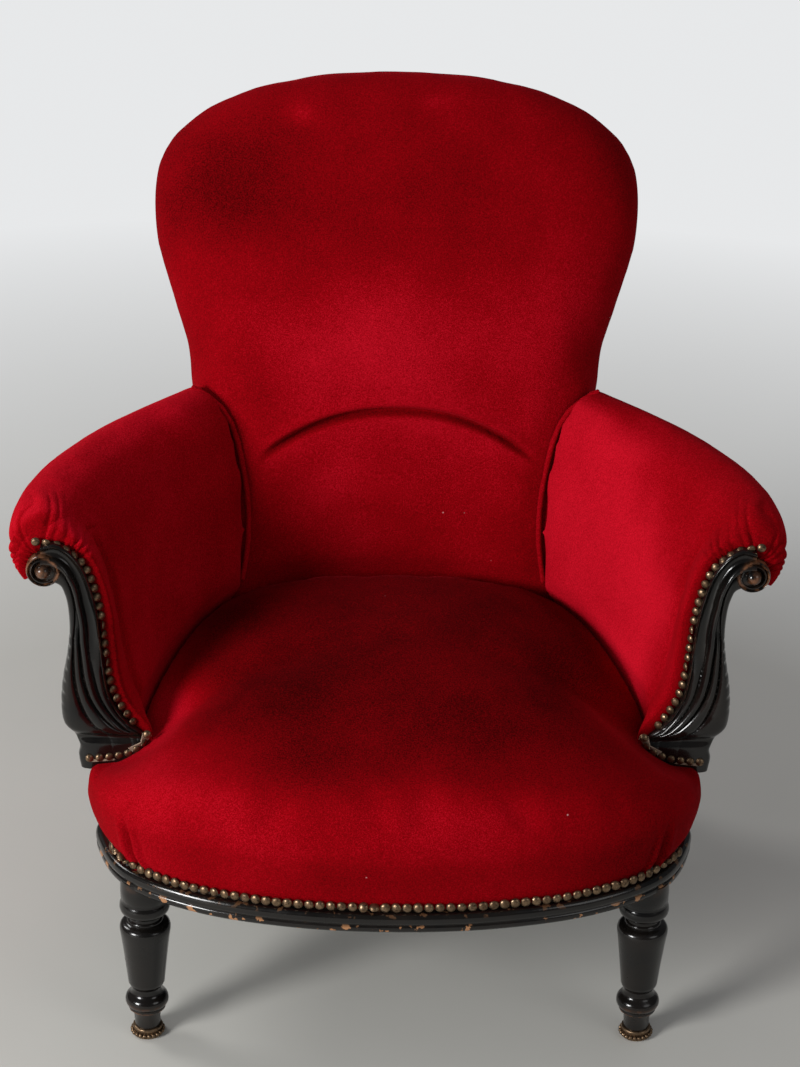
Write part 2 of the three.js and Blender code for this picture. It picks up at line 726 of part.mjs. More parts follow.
function supportOutline(innerBorder) {
  return supportShares.map(([x, z], i) => {
    const border = i >= innerEdgeStart || i === 0 ? innerBorder : 0;
    return new THREE.Vector2(x * armSupportReach + border, supportFoot + z * armSupportHeight);
  });
}

function facing(geometry, rear) {
  return geometry.rotateX(Math.PI / 2).translate(0, rear, 0);
}

function armSupport() {
  const backBoard = new THREE.ExtrudeGeometry(new THREE.Shape(supportOutline(0)),
    { depth: armSupportRear - borderFront, bevelEnabled: false });
  const bevel = armSupportBevel;
  const carved = new THREE.ExtrudeGeometry(new THREE.Shape(supportOutline(nailBorder)), {
    depth: armSupportRear - armSupportFront - bevel - armSupportDepth / 2,
    bevelThickness: bevel, bevelSize: bevel, bevelOffset: -bevel, bevelSegments: 1,
  });
  const centre = [armSupportReach - scrollRadius, supportFoot + scrollRise];
  const boss = new THREE.CylinderGeometry(scrollRadius * 0.86, scrollRadius * 0.94, armSupportDepth / 2, 14);
  boss.translate(centre[0], armSupportFront + armSupportDepth / 4 - armSupportBorder / 2, centre[1]);
  const bead = new THREE.SphereGeometry(scrollBeadRadius, 10, 6);
  bead.translate(centre[0], armSupportFront - armSupportBorder / 2, centre[1]);
  const boards = [facing(backBoard, armSupportRear), facing(carved, armSupportRear - armSupportDepth / 2)];
  return join(...boards, boss, bead);
}
const armSupportShape = armSupport();
addPair('arm_support', armSupportShape, 'ebonised');
const bothSupports = [grown(armSupportShape, clearance), grown(mirrored(armSupportShape), clearance)];

// Nails: a row of domed heads on a strip of gimp, along a path with a way out at each place
function nailHead(place, out) {
  const profile = [[0, -gimpThickness / 2], [1, -gimpThickness / 2], [0, nailHeight]];
  const head = new THREE.LatheGeometry(profile.map(([r, y]) => new THREE.Vector2(r * nailRadius, y)), 5);
  const turn = new THREE.Quaternion().setFromUnitVectors(V(0, 1, 0), out);
  return head.applyQuaternion(turn).translate(...place.toArray());
}

function nailRow(path, outAt, across, steps) {
  const curve = curveOf(path);
  const strip = Array.from({ length: steps + 1 }, (_, i) => {
    const share = i / steps;
    const [place, out] = [curve.getPointAt(share), outAt(share)];
    const wide = across(share).multiplyScalar(gimpWidth / 2);
    const back = place.clone().addScaledVector(out, -gimpThickness);
    return [place.clone().sub(wide), place.clone().add(wide), back.clone().add(wide), back.clone().sub(wide)];
  });
  const count = Math.round(curve.getLength() / nailPitch);
  const heads = Array.from({ length: count }, (_, i) => {
    const share = (i + 0.5) / count;
    return nailHead(curve.getPointAt(share), outAt(share));
  });
  return join(loft(strip), ...heads);
}

// Rows up the inner edge of each arm support and round its foot
function supportPath(shares, shift, front, lift) {
  const place = front - clearance - gimpThickness;
  const foot = supportFoot + lift;
  return shares.map(([x, z]) => V(x * armSupportReach + shift, place, foot + z * armSupportHeight));
}
const facingFront = () => V(0, -1, 0);
function edgeRow(path, steps) {
  const curve = curveOf(path);
  const across = (share) => {
    const tangent = curve.getTangentAt(share);
    return V(tangent.z, 0, -tangent.x).normalize();
  };
  return nailRow(path, facingFront, across, steps);
}
const innerEdgeShares = supportShares.slice(innerEdgeStart, -1);
const armNails = edgeRow(supportPath(innerEdgeShares, gimpWidth / 2, borderFront, 0), 12);
addPair('arm_nail_row', cut(armNails, bothSupports[0]), 'brass');

const footRowShares = [[0.683, 0.155], [0.695, 0.08], [0.75, 0.045], [0.87, 0.028]];
const footRowShape = edgeRow(supportPath(footRowShares, 0, armSupportFront, gimpWidth / 2), 7);
addPair('foot_nail_row', footRowShape, 'brass');
const bothFootRows = [grown(footRowShape, clearance), grown(mirrored(footRowShape), clearance)];

// Seat: places round its edge behind the front corners, as shares of the seat frame. In front
// of them it follows the rails.
const seatRearShares = [
  [0.9, 0.39], [0.86, 0.46], [0.77, 0.61], [0.63, 0.755], [0.346, 0.842], [0, 0.865],
];
const seatFrontPlaces = 6;
const seatPlanShares = [...railPlanShares.slice(0, seatFrontPlaces), ...seatRearShares];
// At each place: the height of the crest, the bulge of the side and the width of the roll
const seatEdgeShares = [
  [0.72, frontSwellShare, 1], [0.71, frontSwellShare, 1], [0.66, 0.72, 0.93], [0.535, 0.78, 0.8],
  [0.4, 0.89, 0.55], [0.34, 1, 0.4],
  [0.47, 0.1, 0.3], [0.61, 0, 0.27], [0.73, 0, 0.27], [0.81, 0, 0.27], [0.88, 0, 0.27], [0.9, 0, 0.27],
];
// Levels up the side: share of the crest height, of the bulge, and of the roll drawn in
const seatLevelShares = [
  [0, 0, 0], [0.13, 0, 0], [0.34, 0.78, 0], [0.6, 1, 0], [0.83, 0.68, 0], [0.95, 0.15, 0.12], [1.02, 0, 0.75],
];
const domeShares = [0.2, 0.48, 0.85];
const domePlaceShare = 0.46;

function seatRing(level) {
  const [up, bulge, drawn] = level;
  const half = halfPlan(seatPlanShares);
  const moves = half.map((p, i) => seatEdgeShares[0].map((_, k) => along(
    seatEdgeShares.map((row, j) => [j * planSteps, row[k]]), i)));
  const height = seatDome - seatBottom;
  const right = half.map((p, i) => {
    const [crest, bulgeShare, roll] = moves[i];
    const distance = coverOutset + bulge * bulgeShare * seatBulge - drawn * roll * seatRoll;
    const isEnd = i === half.length - 1;
    const place = isEnd ? V(0, p.y + distance, 0) : movedOut(half, distance)[i];
    return place.setZ(seatBottom + up * crest * height);
  });
  return [...right, ...right.slice(1, -1).reverse().map((p) => V(-p.x, p.y, p.z))];
}

function seatSolid() {
  const rings = seatLevelShares.map(seatRing);
  const rim = rings[rings.length - 1];
  const top = V(0, mix(railFront, railRear, domePlaceShare), seatDome);
  domeShares.forEach((share) => rings.push(rim.map((p) => V(mix(p.x, top.x, share), mix(p.y, top.y, share),
    mix(p.z, top.z, 1 - (1 - share) ** 2)))));
  return loft(rings);
}
const seatForm = seatSolid();
const backGrown = grown(backForm, 2 * clearance);
const hessianCore = prism(railPlan(clearance), 0, padBottom);
const behindSkirt = block(V(-farHalf, skirtEnd, 0), V(farHalf, rearReach, padBottom));
const belowPad = block(V(-farHalf, frontReach - overrun, 0), V(farHalf, rearReach, padBottom));
const openings = [backGrown, ...bothSupports, ...bothFootRows, ...bothRearLegs];
const seatInner = grown(seatForm, -coverThickness);
add('seat_cover', cut(seatForm, seatInner, hessianCore, behindSkirt, ...openings), 'velvet');
const seatStuffing = grown(seatForm, -coverThickness - clearance);
add('seat_stuffing', cut(seatStuffing, belowPad, ...openings), 'stuffing');

const hessian = prism(railPlan(-hessianInset), railTop + clearance, railTop + clearance + hessianThickness);
add('spring_hessian', cut(hessian, ...bothRearLegs, ...bothSupports), 'jute');

// Piping in the seam where each arm meets the back
const pipingShares = [
  [0.838, 0.49], [0.735, 0.466], [0.67, 0.43], [0.62, 0.35], [0.6, 0.28], [0.605, 0.215], [0.63, 0.15],
];
function piping() {
  const control = pipingShares.map(([x, up]) => {
    const [px, pz] = [x * backHalfWidth, railTop + up * backHeight];
    return V(px, frontFace(px, pz) - pipingRadius / 2, pz);
  });
  const round = new THREE.Shape().absarc(0, 0, pipingRadius, 0, 2 * Math.PI);
  return new THREE.ExtrudeGeometry(round, { steps: 12, curveSegments: 3, bevelEnabled: false,
    extrudePath: curveOf(control) });
}

// Back cover and stuffing
const pipingGrown = grown(piping(), clearance);
const backInner = grown(backForm, -coverThickness);
const backStuffing = grown(backForm, -coverThickness - clearance);
add('back_cover', cut(backForm, backInner, backCore, ...bothArmRails), 'velvet');
add('back_stuffing', cut(backStuffing, grown(backCore, clearance), ...bothArmRails), 'stuffing');
const outsideBackFront = clearance - backFrameSetIn;
const outsideBackRear = outsideBackFront + panelThickness;
const outsideBack = backPlate(backFrameInset, outsideBackFront, outsideBackRear, seatBottom);
add('outside_back_cover', cut(outsideBack, ...bothRearLegs), 'velvet');

// Arms: stations from the front to the back, each with the inner and outer place in plan
// (shares of the arm's half width and of the frame's depth), the height of its top, and how
// far it flares
const armStationShares = [
  [0.674, 0.354, 0.99, 0.354, 0.935, 1], [0.667, 0.375, 1, 0.375, 0.953, 1],
  [0.657, 0.423, 1, 0.433, 0.964, 0.95], [0.629, 0.51, 0.965, 0.519, 0.976, 0.8],
  [0.577, 0.606, 0.9, 0.615, 0.985, 0.6], [0.51, 0.698, 0.805, 0.721, 0.993, 0.35],
  [0.43, 0.769, 0.7, 0.808, 1, 0.15], [0.395, 0.827, 0.605, 0.913, 0.992, 0],
];
// Places round the section: share across at a flared place, across at the back, and up
const armSectionShares = [
  [0, 0, 0], [0.02, 0, 0.12], [0.17, -0.06, 0.42], [0.27, -0.02, 0.7], [0.4, 0.2, 0.88],
  [0.56, 0.42, 0.975], [0.74, 0.66, 1], [0.92, 0.9, 0.955], [1, 1, 0.88], [0.94, 0.99, 0.79],
  [0.5, 0.96, 0.72], [0.3, 0.9, 0],
];

function armPlace(station, across, up) {
  const [innerX, innerY, outerX, outerY, topShare] = station;
  const inner = V(innerX * armHalfWidth, railFront + innerY * railFrameDepth, 0);
  const outer = V(outerX * armHalfWidth, railFront + outerY * railFrameDepth, 0);
  return inner.lerp(outer, across).setZ(padBottom + up * (topShare * armTop - padBottom));
}

function armSection(station) {
  const flare = station[5];
  return armSectionShares.map(([front, rear, up]) => armPlace(station, mix(rear, front, flare), up));
}

const armSteps = 11;
function armSolid() {
  const rings = armStationShares.map(armSection);
  const lines = rings[0].map((_, k) => smooth(rings.map((ring) => ring[k]), armSteps));
  const fine = lines[0].map((_, i) => lines.map((line) => line[i]));
  return loft(fine);
}

const armForm = armSolid();
const seatGrown = grown(seatForm, clearance);

// Outside arm cover: a thin panel from the rail up to the under side of the roll. Its top is
// at a share across the arm where that is straight, one where it is flared, and a share up.
const panelTopShares = [0.97, 0.5, 0.745];
const panelSteps = 10;
function outsideArm(thickness) {
  const isBeside = (p) => p.x > railHalfWidth / 2 && p.y > jointLine;
  const feet = evenly(railHalfPlan(clearance).filter(isBeside), panelSteps);
  const [straightShare, flaredShare, upShare] = panelTopShares;
  const tops = evenly(armStationShares.map((station) => {
    const flare = station[5];
    return armPlace(station, mix(straightShare, flaredShare, flare), upShare);
  }), panelSteps);
  const rings = feet.map((foot, i) => {
    const before = feet[Math.max(i - 1, 0)];
    const after = feet[Math.min(i + 1, panelSteps)];
    const tangent = after.clone().sub(before).normalize();
    const out = V(tangent.y, -tangent.x, 0).multiplyScalar(thickness);
    const line = [foot.clone().setZ(seatBottom), foot.clone().setZ(railTop), tops[i]];
    return [...line, ...line.map((p) => p.clone().add(out)).reverse()];
  });
  return loft(rings);
}
const beforePanel = block(V(0, frontReach - overrun, 0), V(farHalf, skirtEnd + clearance, overallHeight));
const outsideArmShape = cut(outsideArm(panelThickness), beforePanel, bothSupports[0], bothRearLegs[0]);
addPair('outside_arm_cover', outsideArmShape, 'velvet');

addPair('arm_piping', cut(piping(), backGrown, armRailGrown), 'velvet');
const armPad = cut(armForm, backGrown, seatGrown, bothSupports[0], armRailGrown, bothRearLegs[0],
  grown(outsideArm(overrun), clearance), pipingGrown);
addPair('arm_pad', armPad, 'velvet');

// Front row, just above the moulding
function frontNailPlaces() {
  const half = movedOut(halfPlan(seatPlanShares), coverOutset + gimpThickness + 2 * clearance);
  const front = half.filter((p, i) => i < planSteps * seatFrontPlaces && p.y < jointLine);
  const path = [...front.slice(1).reverse().map((p) => V(-p.x, p.y, 0)), ...front];
  return path.map((p) => p.setZ(seatBottom + gimpWidth / 2));
}
const frontNails = frontNailPlaces();
const frontCurve = curveOf(frontNails);
const outFromRail = (share) => {
  const tangent = frontCurve.getTangentAt(share);
  return V(tangent.y, -tangent.x, 0).normalize();
};
add('front_nail_row', nailRow(frontNails, outFromRail, () => V(0, 0, 1), 30), 'brass');

// Webbing and springs of the seat
function seatWebbing() {
  const [bottom, top] = [railBottom - clearance - webbingThickness, railBottom - clearance];
  const straps = [];
  [-1, 0, 1].forEach((i) => {
    const x = i * springSpacingAcross;
    const y = springRowsFront + (i + 1) * springSpacingDeep;
    const half = webbingWidth / 2;
    straps.push(block(V(x - half, frontReach, bottom), V(x + half, rearRailFront + rearRailThickness, top)));
    straps.push(block(V(-railHalfWidth, y - half, bottom), V(railHalfWidth, y + half, top)));
  });
  return keepInside(join(...straps), prism(railPlan(-mouldingProud), bottom - overrun, top + overrun));
}
const frontLegsGrown = [grown(frontLeg(), clearance), grown(mirrored(frontLeg()), clearance)];
add('seat_webbing', cut(seatWebbing(), ...frontLegsGrown, ...bothRearLegs), 'jute');

const clothTop = railBottom - 2 * clearance - webbingThickness;
const bottomCloth = prism(railPlan(-bottomClothInset), clothTop - bottomClothThickness, clothTop);
add('bottom_cloth', cut(bottomCloth, ...frontLegsGrown, ...bothRearLegs), 'lining');

function spring(x, y) {
  const [sides, stepsPerCurl] = [4, 6];
  const bottom = railBottom + springWireRadius;
  const top = railTop - springWireRadius;
  const steps = springCurls * stepsPerCurl;
  const rings = Array.from({ length: steps + 1 }, (_, i) => {
    const angle = (i * 2 * Math.PI) / stepsPerCurl;
    const out = V(Math.cos(angle), Math.sin(angle), 0);
    const middle = V(x, y, mix(bottom, top, i / steps)).addScaledVector(out, springRadius);
    return Array.from({ length: sides }, (__, k) => {
      const turn = (k * 2 * Math.PI) / sides;
      return middle.clone().addScaledVector(out, Math.cos(turn) * springWireRadius)
        .add(V(0, 0, Math.sin(turn) * springWireRadius));
    });
  });
  return loft(rings);
}
[-1, 0, 1].forEach((column) => {
  [0, 1, 2].forEach((row) => {
    const name = `seat_spring_${row * 3 + column + 2}`;
    add(name, spring(column * springSpacingAcross, springRowsFront + row * springSpacingDeep), 'steel');
  });
});

export default chair;
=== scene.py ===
# %% [markdown]
# An upholstered armchair, dressed in Blender. The chair has a red velvet cover over springs and
# stuffing, blackened carved wood at its arms and feet, and rows of small brass nails. The solid
# model already gives every piece its place and size, so this lesson builds the surfaces that
# the eye sees on top of it. The lengths below are written in millimetres, as a workshop
# would, and each is multiplied by MM on its way into Blender, which works in metres.

# %% Open the solid model
import math

import bmesh
import bpy
import numpy as np
from mathutils import Matrix, Vector
from mathutils.bvhtree import BVHTree


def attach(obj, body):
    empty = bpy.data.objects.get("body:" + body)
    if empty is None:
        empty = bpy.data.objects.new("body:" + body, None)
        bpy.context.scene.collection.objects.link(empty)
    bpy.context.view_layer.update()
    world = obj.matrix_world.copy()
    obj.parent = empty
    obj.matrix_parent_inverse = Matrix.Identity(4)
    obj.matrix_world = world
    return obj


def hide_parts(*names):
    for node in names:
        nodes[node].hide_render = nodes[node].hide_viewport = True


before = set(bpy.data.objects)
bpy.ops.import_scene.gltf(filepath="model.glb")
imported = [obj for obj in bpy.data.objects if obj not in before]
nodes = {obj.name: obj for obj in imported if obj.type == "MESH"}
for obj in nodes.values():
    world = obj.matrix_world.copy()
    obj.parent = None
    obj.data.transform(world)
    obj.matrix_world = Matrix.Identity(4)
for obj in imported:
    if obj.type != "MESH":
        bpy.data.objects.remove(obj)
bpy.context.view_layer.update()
MM = 0.001

# %% [markdown]
# The camera repeats the photograph: it looks down by about 25 degrees from 2.8 metres away. It
# could be placed by eye, but a camera that was fitted to the nail rows and to the feet lets
# each piece be compared with the photograph at the same spot. So its direction, its turn and
# its distance are given as numbers, and its place follows from them.

# %% Place the camera
CAMERA_TARGET = Vector((5.278, 61.2, 426.71)) * MM
CAMERA_DISTANCE = 2764.7 * MM
CAMERA_PITCH, CAMERA_YAW, CAMERA_ROLL = (math.radians(a) for a in (25.084, 1.592, -1.182))
LENS, SENSOR = 89.61, 36


def camera_axes():
    forward = Vector((math.sin(CAMERA_YAW) * math.cos(CAMERA_PITCH),
                      math.cos(CAMERA_YAW) * math.cos(CAMERA_PITCH), -math.sin(CAMERA_PITCH)))
    level = Vector((math.cos(CAMERA_YAW), -math.sin(CAMERA_YAW), 0))
    down = forward.cross(level)
    right = math.cos(CAMERA_ROLL) * level + math.sin(CAMERA_ROLL) * down
    return right, -forward.cross(right), forward


right, up, forward = camera_axes()
camera = bpy.data.objects.new("camera", bpy.data.cameras.new("camera"))
camera.data.lens = LENS
camera.data.sensor_width = SENSOR
turn = Matrix((right, up, -forward)).transposed().to_4x4()
camera.matrix_world = Matrix.Translation(CAMERA_TARGET - forward * CAMERA_DISTANCE) @ turn
bpy.context.scene.collection.objects.link(camera)
bpy.context.scene.camera = camera
print("camera height in mm", round(camera.location.z / MM))

# %% [markdown]
# Daylight from large windows lights the chair in the photograph, mostly from the left. A sun
# lamp would draw hard shadows, and a bare sky would draw none. Three large area lamps and a
# pale sky give soft shadows with a clear direction, at a level where a colour looks as written.

# %% Light the scene
# Each lamp's place and size in metres, and its power in watts
LAMPS = {
    "window": ((-2.7, -2.3, 1.5), 1.2, 128),
    "fill": ((2.4, -2.2, 1.9), 1.8, 12),
    "rear window": ((-2.3, 1.1, 2.3), 1.0, 24),
}
LAMP_AIM = Vector((0, 0, 0.45))
SKY_COLOUR, SKY_STRENGTH = (0.93, 0.95, 1, 1), 0.34

for lamp_name, (lamp_place, lamp_size, lamp_watts) in LAMPS.items():
    lamp_data = bpy.data.lights.new(lamp_name, "AREA")
    lamp_data.shape = "DISK"
    lamp_data.size = lamp_size
    lamp_data.energy = lamp_watts
    lamp = bpy.data.objects.new(lamp_name, lamp_data)
    lamp.location = lamp_place
    lamp.rotation_euler = (LAMP_AIM - lamp.location).to_track_quat("-Z", "Y").to_euler()
    bpy.context.scene.collection.objects.link(lamp)

world = bpy.data.worlds.new("studio")
world.use_nodes = True
world.node_tree.nodes["Background"].inputs["Color"].default_value = SKY_COLOUR
world.node_tree.nodes["Background"].inputs["Strength"].default_value = SKY_STRENGTH
bpy.context.scene.world = world
bpy.context.scene.view_settings.view_transform = "Standard"
print("lamps:", ", ".join(LAMPS))

# %% [markdown]
# Every piece below starts as a bmesh, becomes an object of its own, and rides on the chair's
# one body. A few small helpers keep that short. One makes the object, one keeps the result of
# its modifiers as its mesh, and one says which solids the new piece stands for.


# %% Helpers for making pieces
SHARP_ANGLE = math.radians(48)
WELD = 0.02 * MM


def make_object(shape, name):
    mesh = bpy.data.meshes.new(name)
    shape.to_mesh(mesh)
    shape.free()
    piece = bpy.data.objects.new(name, mesh)
    bpy.context.scene.collection.objects.link(piece)
    return piece


def settle(piece):
    seen = piece.evaluated_get(bpy.context.evaluated_depsgraph_get())
    mesh = bpy.data.meshes.new_from_object(seen)
    piece.modifiers.clear()
    piece.data = mesh
    return piece


def finish_piece(piece, finish, slot, *stands_for):
    piece.data.materials.clear()
    piece.data.materials.append(finish)
    piece.data.polygons.foreach_set("use_smooth", [True] * len(piece.data.polygons))
    if slot == "ebonised_wood":
        piece.data.set_sharp_from_angle(angle=SHARP_ANGLE)
    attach(piece, "root")
    if stands_for:
        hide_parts(*stands_for)
    print(piece.name, "-", len(piece.data.polygons), "faces")
    return piece


def face_towards(shape, direction):
    bmesh.ops.recalc_face_normals(shape, faces=shape.faces)
    if sum(f.normal.dot(Vector(direction)) * f.calc_area() for f in shape.faces) < 0:
        bmesh.ops.reverse_faces(shape, faces=shape.faces)


def copy_of(*names):
    shape = bmesh.new()
    for name in names:
        shape.from_mesh(nodes[name].data)
    bmesh.ops.remove_doubles(shape, verts=shape.verts, dist=WELD)
    return shape


def mirrored_copy(piece, name):
    shape = bmesh.new()
    shape.from_mesh(piece.data)
    bmesh.ops.scale(shape, vec=(-1, 1, 1), verts=shape.verts)
    bmesh.ops.reverse_faces(shape, faces=shape.faces)
    return make_object(shape, name)


def finish_pair(right_piece, name, finish, slot, node_start):
    left_piece = mirrored_copy(right_piece, name + "_left")
    finish_piece(right_piece, finish, slot, node_start + "_right")
    finish_piece(left_piece, finish, slot, node_start + "_left")


print("helpers ready")

# %% [markdown]
# Materials are node trees. Some effects come back in several of them: rubbed edges on wood and
# on brass, soft clouds in cloth and in dust. Each of these is a node group with named inputs,
# made once and placed in each material with its own numbers. The group only puts out a mask
# or a height. The shader itself stays in the material, where it can be changed on its own.


# %% Helpers for node trees
def place_node(tree, kind, **settings):
    node = tree.nodes.new(kind)
    for key, value in settings.items():
        if key in node.inputs:
            node.inputs[key].default_value = value
        else:
            setattr(node, key, value)
    return node


def start_group(name, numbers):
    group = bpy.data.node_groups.new(name, "ShaderNodeTree")
    group.interface.new_socket("Place", in_out="INPUT", socket_type="NodeSocketVector")
    for key, value in numbers.items():
        socket = group.interface.new_socket(key, in_out="INPUT", socket_type="NodeSocketFloat")
        socket.default_value = value
    group.interface.new_socket("Mask", in_out="OUTPUT", socket_type="NodeSocketFloat")
    return group, group.nodes.new("NodeGroupInput"), group.nodes.new("NodeGroupOutput")


def feed(tree, socket, value):
    if isinstance(value, bpy.types.NodeSocket):
        tree.links.new(value, socket)
    else:
        socket.default_value = value


def remap(tree, source, low, high, to_low=0, to_high=1):
    node = place_node(tree, "ShaderNodeMapRange")
    given = {"Value": source, "From Min": low, "From Max": high, "To Min": to_low, "To Max": to_high}
    for key, value in given.items():
        feed(tree, node.inputs[key], value)
    return node.outputs["Result"]


def calculate(tree, operation, first, second=0):
    node = place_node(tree, "ShaderNodeMath", operation=operation)
    feed(tree, node.inputs[0], first)
    feed(tree, node.inputs[1], second)
    return node.outputs[0]


print("node helpers ready")


# %% Node group for clouds and specks
def build_cloud_group():
    group, given, result = start_group("clouds", {"Scale": 10, "Detail": 3, "Low": 0.4, "High": 0.6})
    noise = place_node(group, "ShaderNodeTexNoise")
    for key in ("Scale", "Detail"):
        group.links.new(given.outputs[key], noise.inputs[key])
    group.links.new(given.outputs["Place"], noise.inputs["Vector"])
    mask = remap(group, noise.outputs["Fac"], given.outputs["Low"], given.outputs["High"])
    group.links.new(mask, result.inputs["Mask"])
    return group


CLOUDS = build_cloud_group()
print("group:", CLOUDS.name)

# %% Node group for rubbed edges
PATCH_LOW, PATCH_HIGH = 0.42, 0.62


def build_wear_group():
    group, given, result = start_group(
        "rubbed_edges", {"Edge": 0.54, "Reach": 0.06, "Scale": 60, "Amount": 1})
    sharp = place_node(group, "ShaderNodeNewGeometry").outputs["Pointiness"]
    full = calculate(group, "ADD", given.outputs["Edge"], given.outputs["Reach"])
    edge = remap(group, sharp, given.outputs["Edge"], full)
    noise = place_node(group, "ShaderNodeTexNoise", Detail=5)
    group.links.new(given.outputs["Scale"], noise.inputs["Scale"])
    group.links.new(given.outputs["Place"], noise.inputs["Vector"])
    patch = remap(group, noise.outputs["Fac"], PATCH_LOW, PATCH_HIGH)
    mask = calculate(group, "MULTIPLY", calculate(group, "MULTIPLY", edge, patch), given.outputs["Amount"])
    group.links.new(mask, result.inputs["Mask"])
    return group


RUBBED_EDGES = build_wear_group()
print("group:", RUBBED_EDGES.name)

# %% Node group for a plain weave
def build_weave_group():
    group, given, result = start_group("plain_weave", {"Scale": 900, "Slack": 0.2})
    split = place_node(group, "ShaderNodeSeparateXYZ")
    group.links.new(given.outputs["Place"], split.inputs["Vector"])
    height = calculate(group, "ADD", split.outputs["Y"], split.outputs["Z"])
    threads = []
    for way in (split.outputs["X"], height):
        wave = calculate(group, "SINE", calculate(group, "MULTIPLY", way, given.outputs["Scale"]))
        threads.append(calculate(group, "ABSOLUTE", wave))
    under = calculate(group, "SUBTRACT", threads[1], given.outputs["Slack"])
    group.links.new(calculate(group, "MAXIMUM", threads[0], under), result.inputs["Mask"])
    return group


WEAVE = build_weave_group()
print("group:", WEAVE.name)


# %% Helpers for placing a group and starting a material
def start_material(name, **settings):
    material = bpy.data.materials.new(name)
    material.use_nodes = True
    tree = material.node_tree
    shader = tree.nodes["Principled BSDF"]
    for key, value in settings.items():
        shader.inputs[key.replace("_", " ")].default_value = value
    place = place_node(tree, "ShaderNodeTexCoord").outputs["Object"]
    return material, tree, shader, place


def use_group(tree, group, place, **numbers):
    node = place_node(tree, "ShaderNodeGroup", node_tree=group)
    tree.links.new(place, node.inputs["Place"])
    for key, value in numbers.items():
        node.inputs[key].default_value = value
    return node.outputs["Mask"]


def colour_ramp(tree, source, *stops):
    node = place_node(tree, "ShaderNodeValToRGB")
    ramp = node.color_ramp
    while len(ramp.elements) < len(stops):
        ramp.elements.new(0.5)
    for element, (share, colour) in zip(ramp.elements, stops):
        element.position = share
        element.color = (*colour, 1)
    tree.links.new(source, node.inputs["Fac"])
    return node.outputs["Color"]


def blend_colours(tree, mask, first, second):
    node = place_node(tree, "ShaderNodeMix", data_type="RGBA")
    tree.links.new(mask, node.inputs["Factor"])
    for socket, value in ((node.inputs[6], first), (node.inputs[7], second)):
        feed(tree, socket, (*value, 1) if isinstance(value, tuple) else value)
    return node.outputs[2]


def add_bump(tree, shader, height, strength, distance):
    bump = place_node(tree, "ShaderNodeBump", Strength=strength, Distance=distance)
    tree.links.new(height, bump.inputs["Height"])
    tree.links.new(bump.outputs["Normal"], shader.inputs["Normal"])


print("material helpers ready")

# %% [markdown]
# Velvet looks dark where the eye looks into its pile, and bright where the pile leans away or
# where the surface turns from the eye. The shader's sheen gives the second. For the first, a
# number is kept on each point of a cover, from dark to bright, and it also holds painted light
# and shade: sides that face the lamps are painted brighter, tops and the fold painted darker.
# Soft clouds, a fine grain and a few pale specks of lint are mixed in with it.

# %% The velvet
PILE_AND_LIGHT_SHARE, BRUSHED_SHARE, GRAIN_SHARE = 0.40, 0.20, 0.34
VELVET_DARK = (0.034, 0.0001, 0.0003)
VELVET_MIDDLE = (0.25, 0.0005, 0.0032)
VELVET_BRIGHT = (0.60, 0.0065, 0.021)
LINT_COLOUR, LINT_EDGE, LINT_CORE = (0.62, 0.30, 0.30), 0.05, 0.02


def build_velvet():
    material, tree, shader, place = start_material(
        "red_velvet", Roughness=0.9, Specular_IOR_Level=0.02, Sheen_Weight=0.18,
        Sheen_Roughness=0.35, Sheen_Tint=(1, 0.03, 0.05, 1))
    # This attribute mixes the pile with painted light and shade
    pile_and_painted_light = place_node(tree, "ShaderNodeAttribute", attribute_name="pile_and_painted_light").outputs["Fac"]
    brushed = use_group(tree, CLOUDS, place, Scale=9, Detail=6, Low=0.3, High=0.7)
    grain = use_group(tree, CLOUDS, place, Scale=760, Detail=2, Low=0.3, High=0.7)
    tone = calculate(tree, "MULTIPLY", pile_and_painted_light, PILE_AND_LIGHT_SHARE)
    for mask, share in ((brushed, BRUSHED_SHARE), (grain, GRAIN_SHARE)):
        centred = calculate(tree, "MULTIPLY", calculate(tree, "SUBTRACT", mask, 0.5), share)
        tone = calculate(tree, "ADD", tone, centred)
    tone = calculate(tree, "ADD", tone, 0.5)
    red = colour_ramp(tree, tone, (0, VELVET_DARK), (0.5, VELVET_MIDDLE), (1, VELVET_BRIGHT))
    lint = place_node(tree, "ShaderNodeTexVoronoi", Scale=42)
    tree.links.new(place, lint.inputs["Vector"])
    speck = remap(tree, lint.outputs["Distance"], LINT_EDGE, LINT_CORE)
    rare = use_group(tree, CLOUDS, place, Scale=31, Detail=1, Low=0.62, High=0.66)
    red = blend_colours(tree, calculate(tree, "MULTIPLY", speck, rare), red, LINT_COLOUR)
    tree.links.new(red, shader.inputs["Base Color"])
    pile = use_group(tree, CLOUDS, place, Scale=1100, Detail=3, Low=0.2, High=0.8)
    add_bump(tree, shader, pile, strength=0.35, distance=0.7 * MM)
    return material


VELVET = build_velvet()
print("material:", VELVET.name)

# %% [markdown]
# The show wood is stained black and polished, and years of hands and vacuum cleaners have
# rubbed its edges back to brown. Grain hardly shows under the stain, so it stays in the bump
# and in the gloss. The nails and the rings under the feet are brass that has gone dull.

# %% The black wood and the brass
BLACK_STAIN, BLACK_BROWN = (0.0028, 0.0026, 0.0025), (0.009, 0.0065, 0.005)
RUBBED_WOOD, BARE_WOOD = (0.20, 0.080, 0.034), (0.36, 0.17, 0.075)
WORN_ROUGHER = 0.25


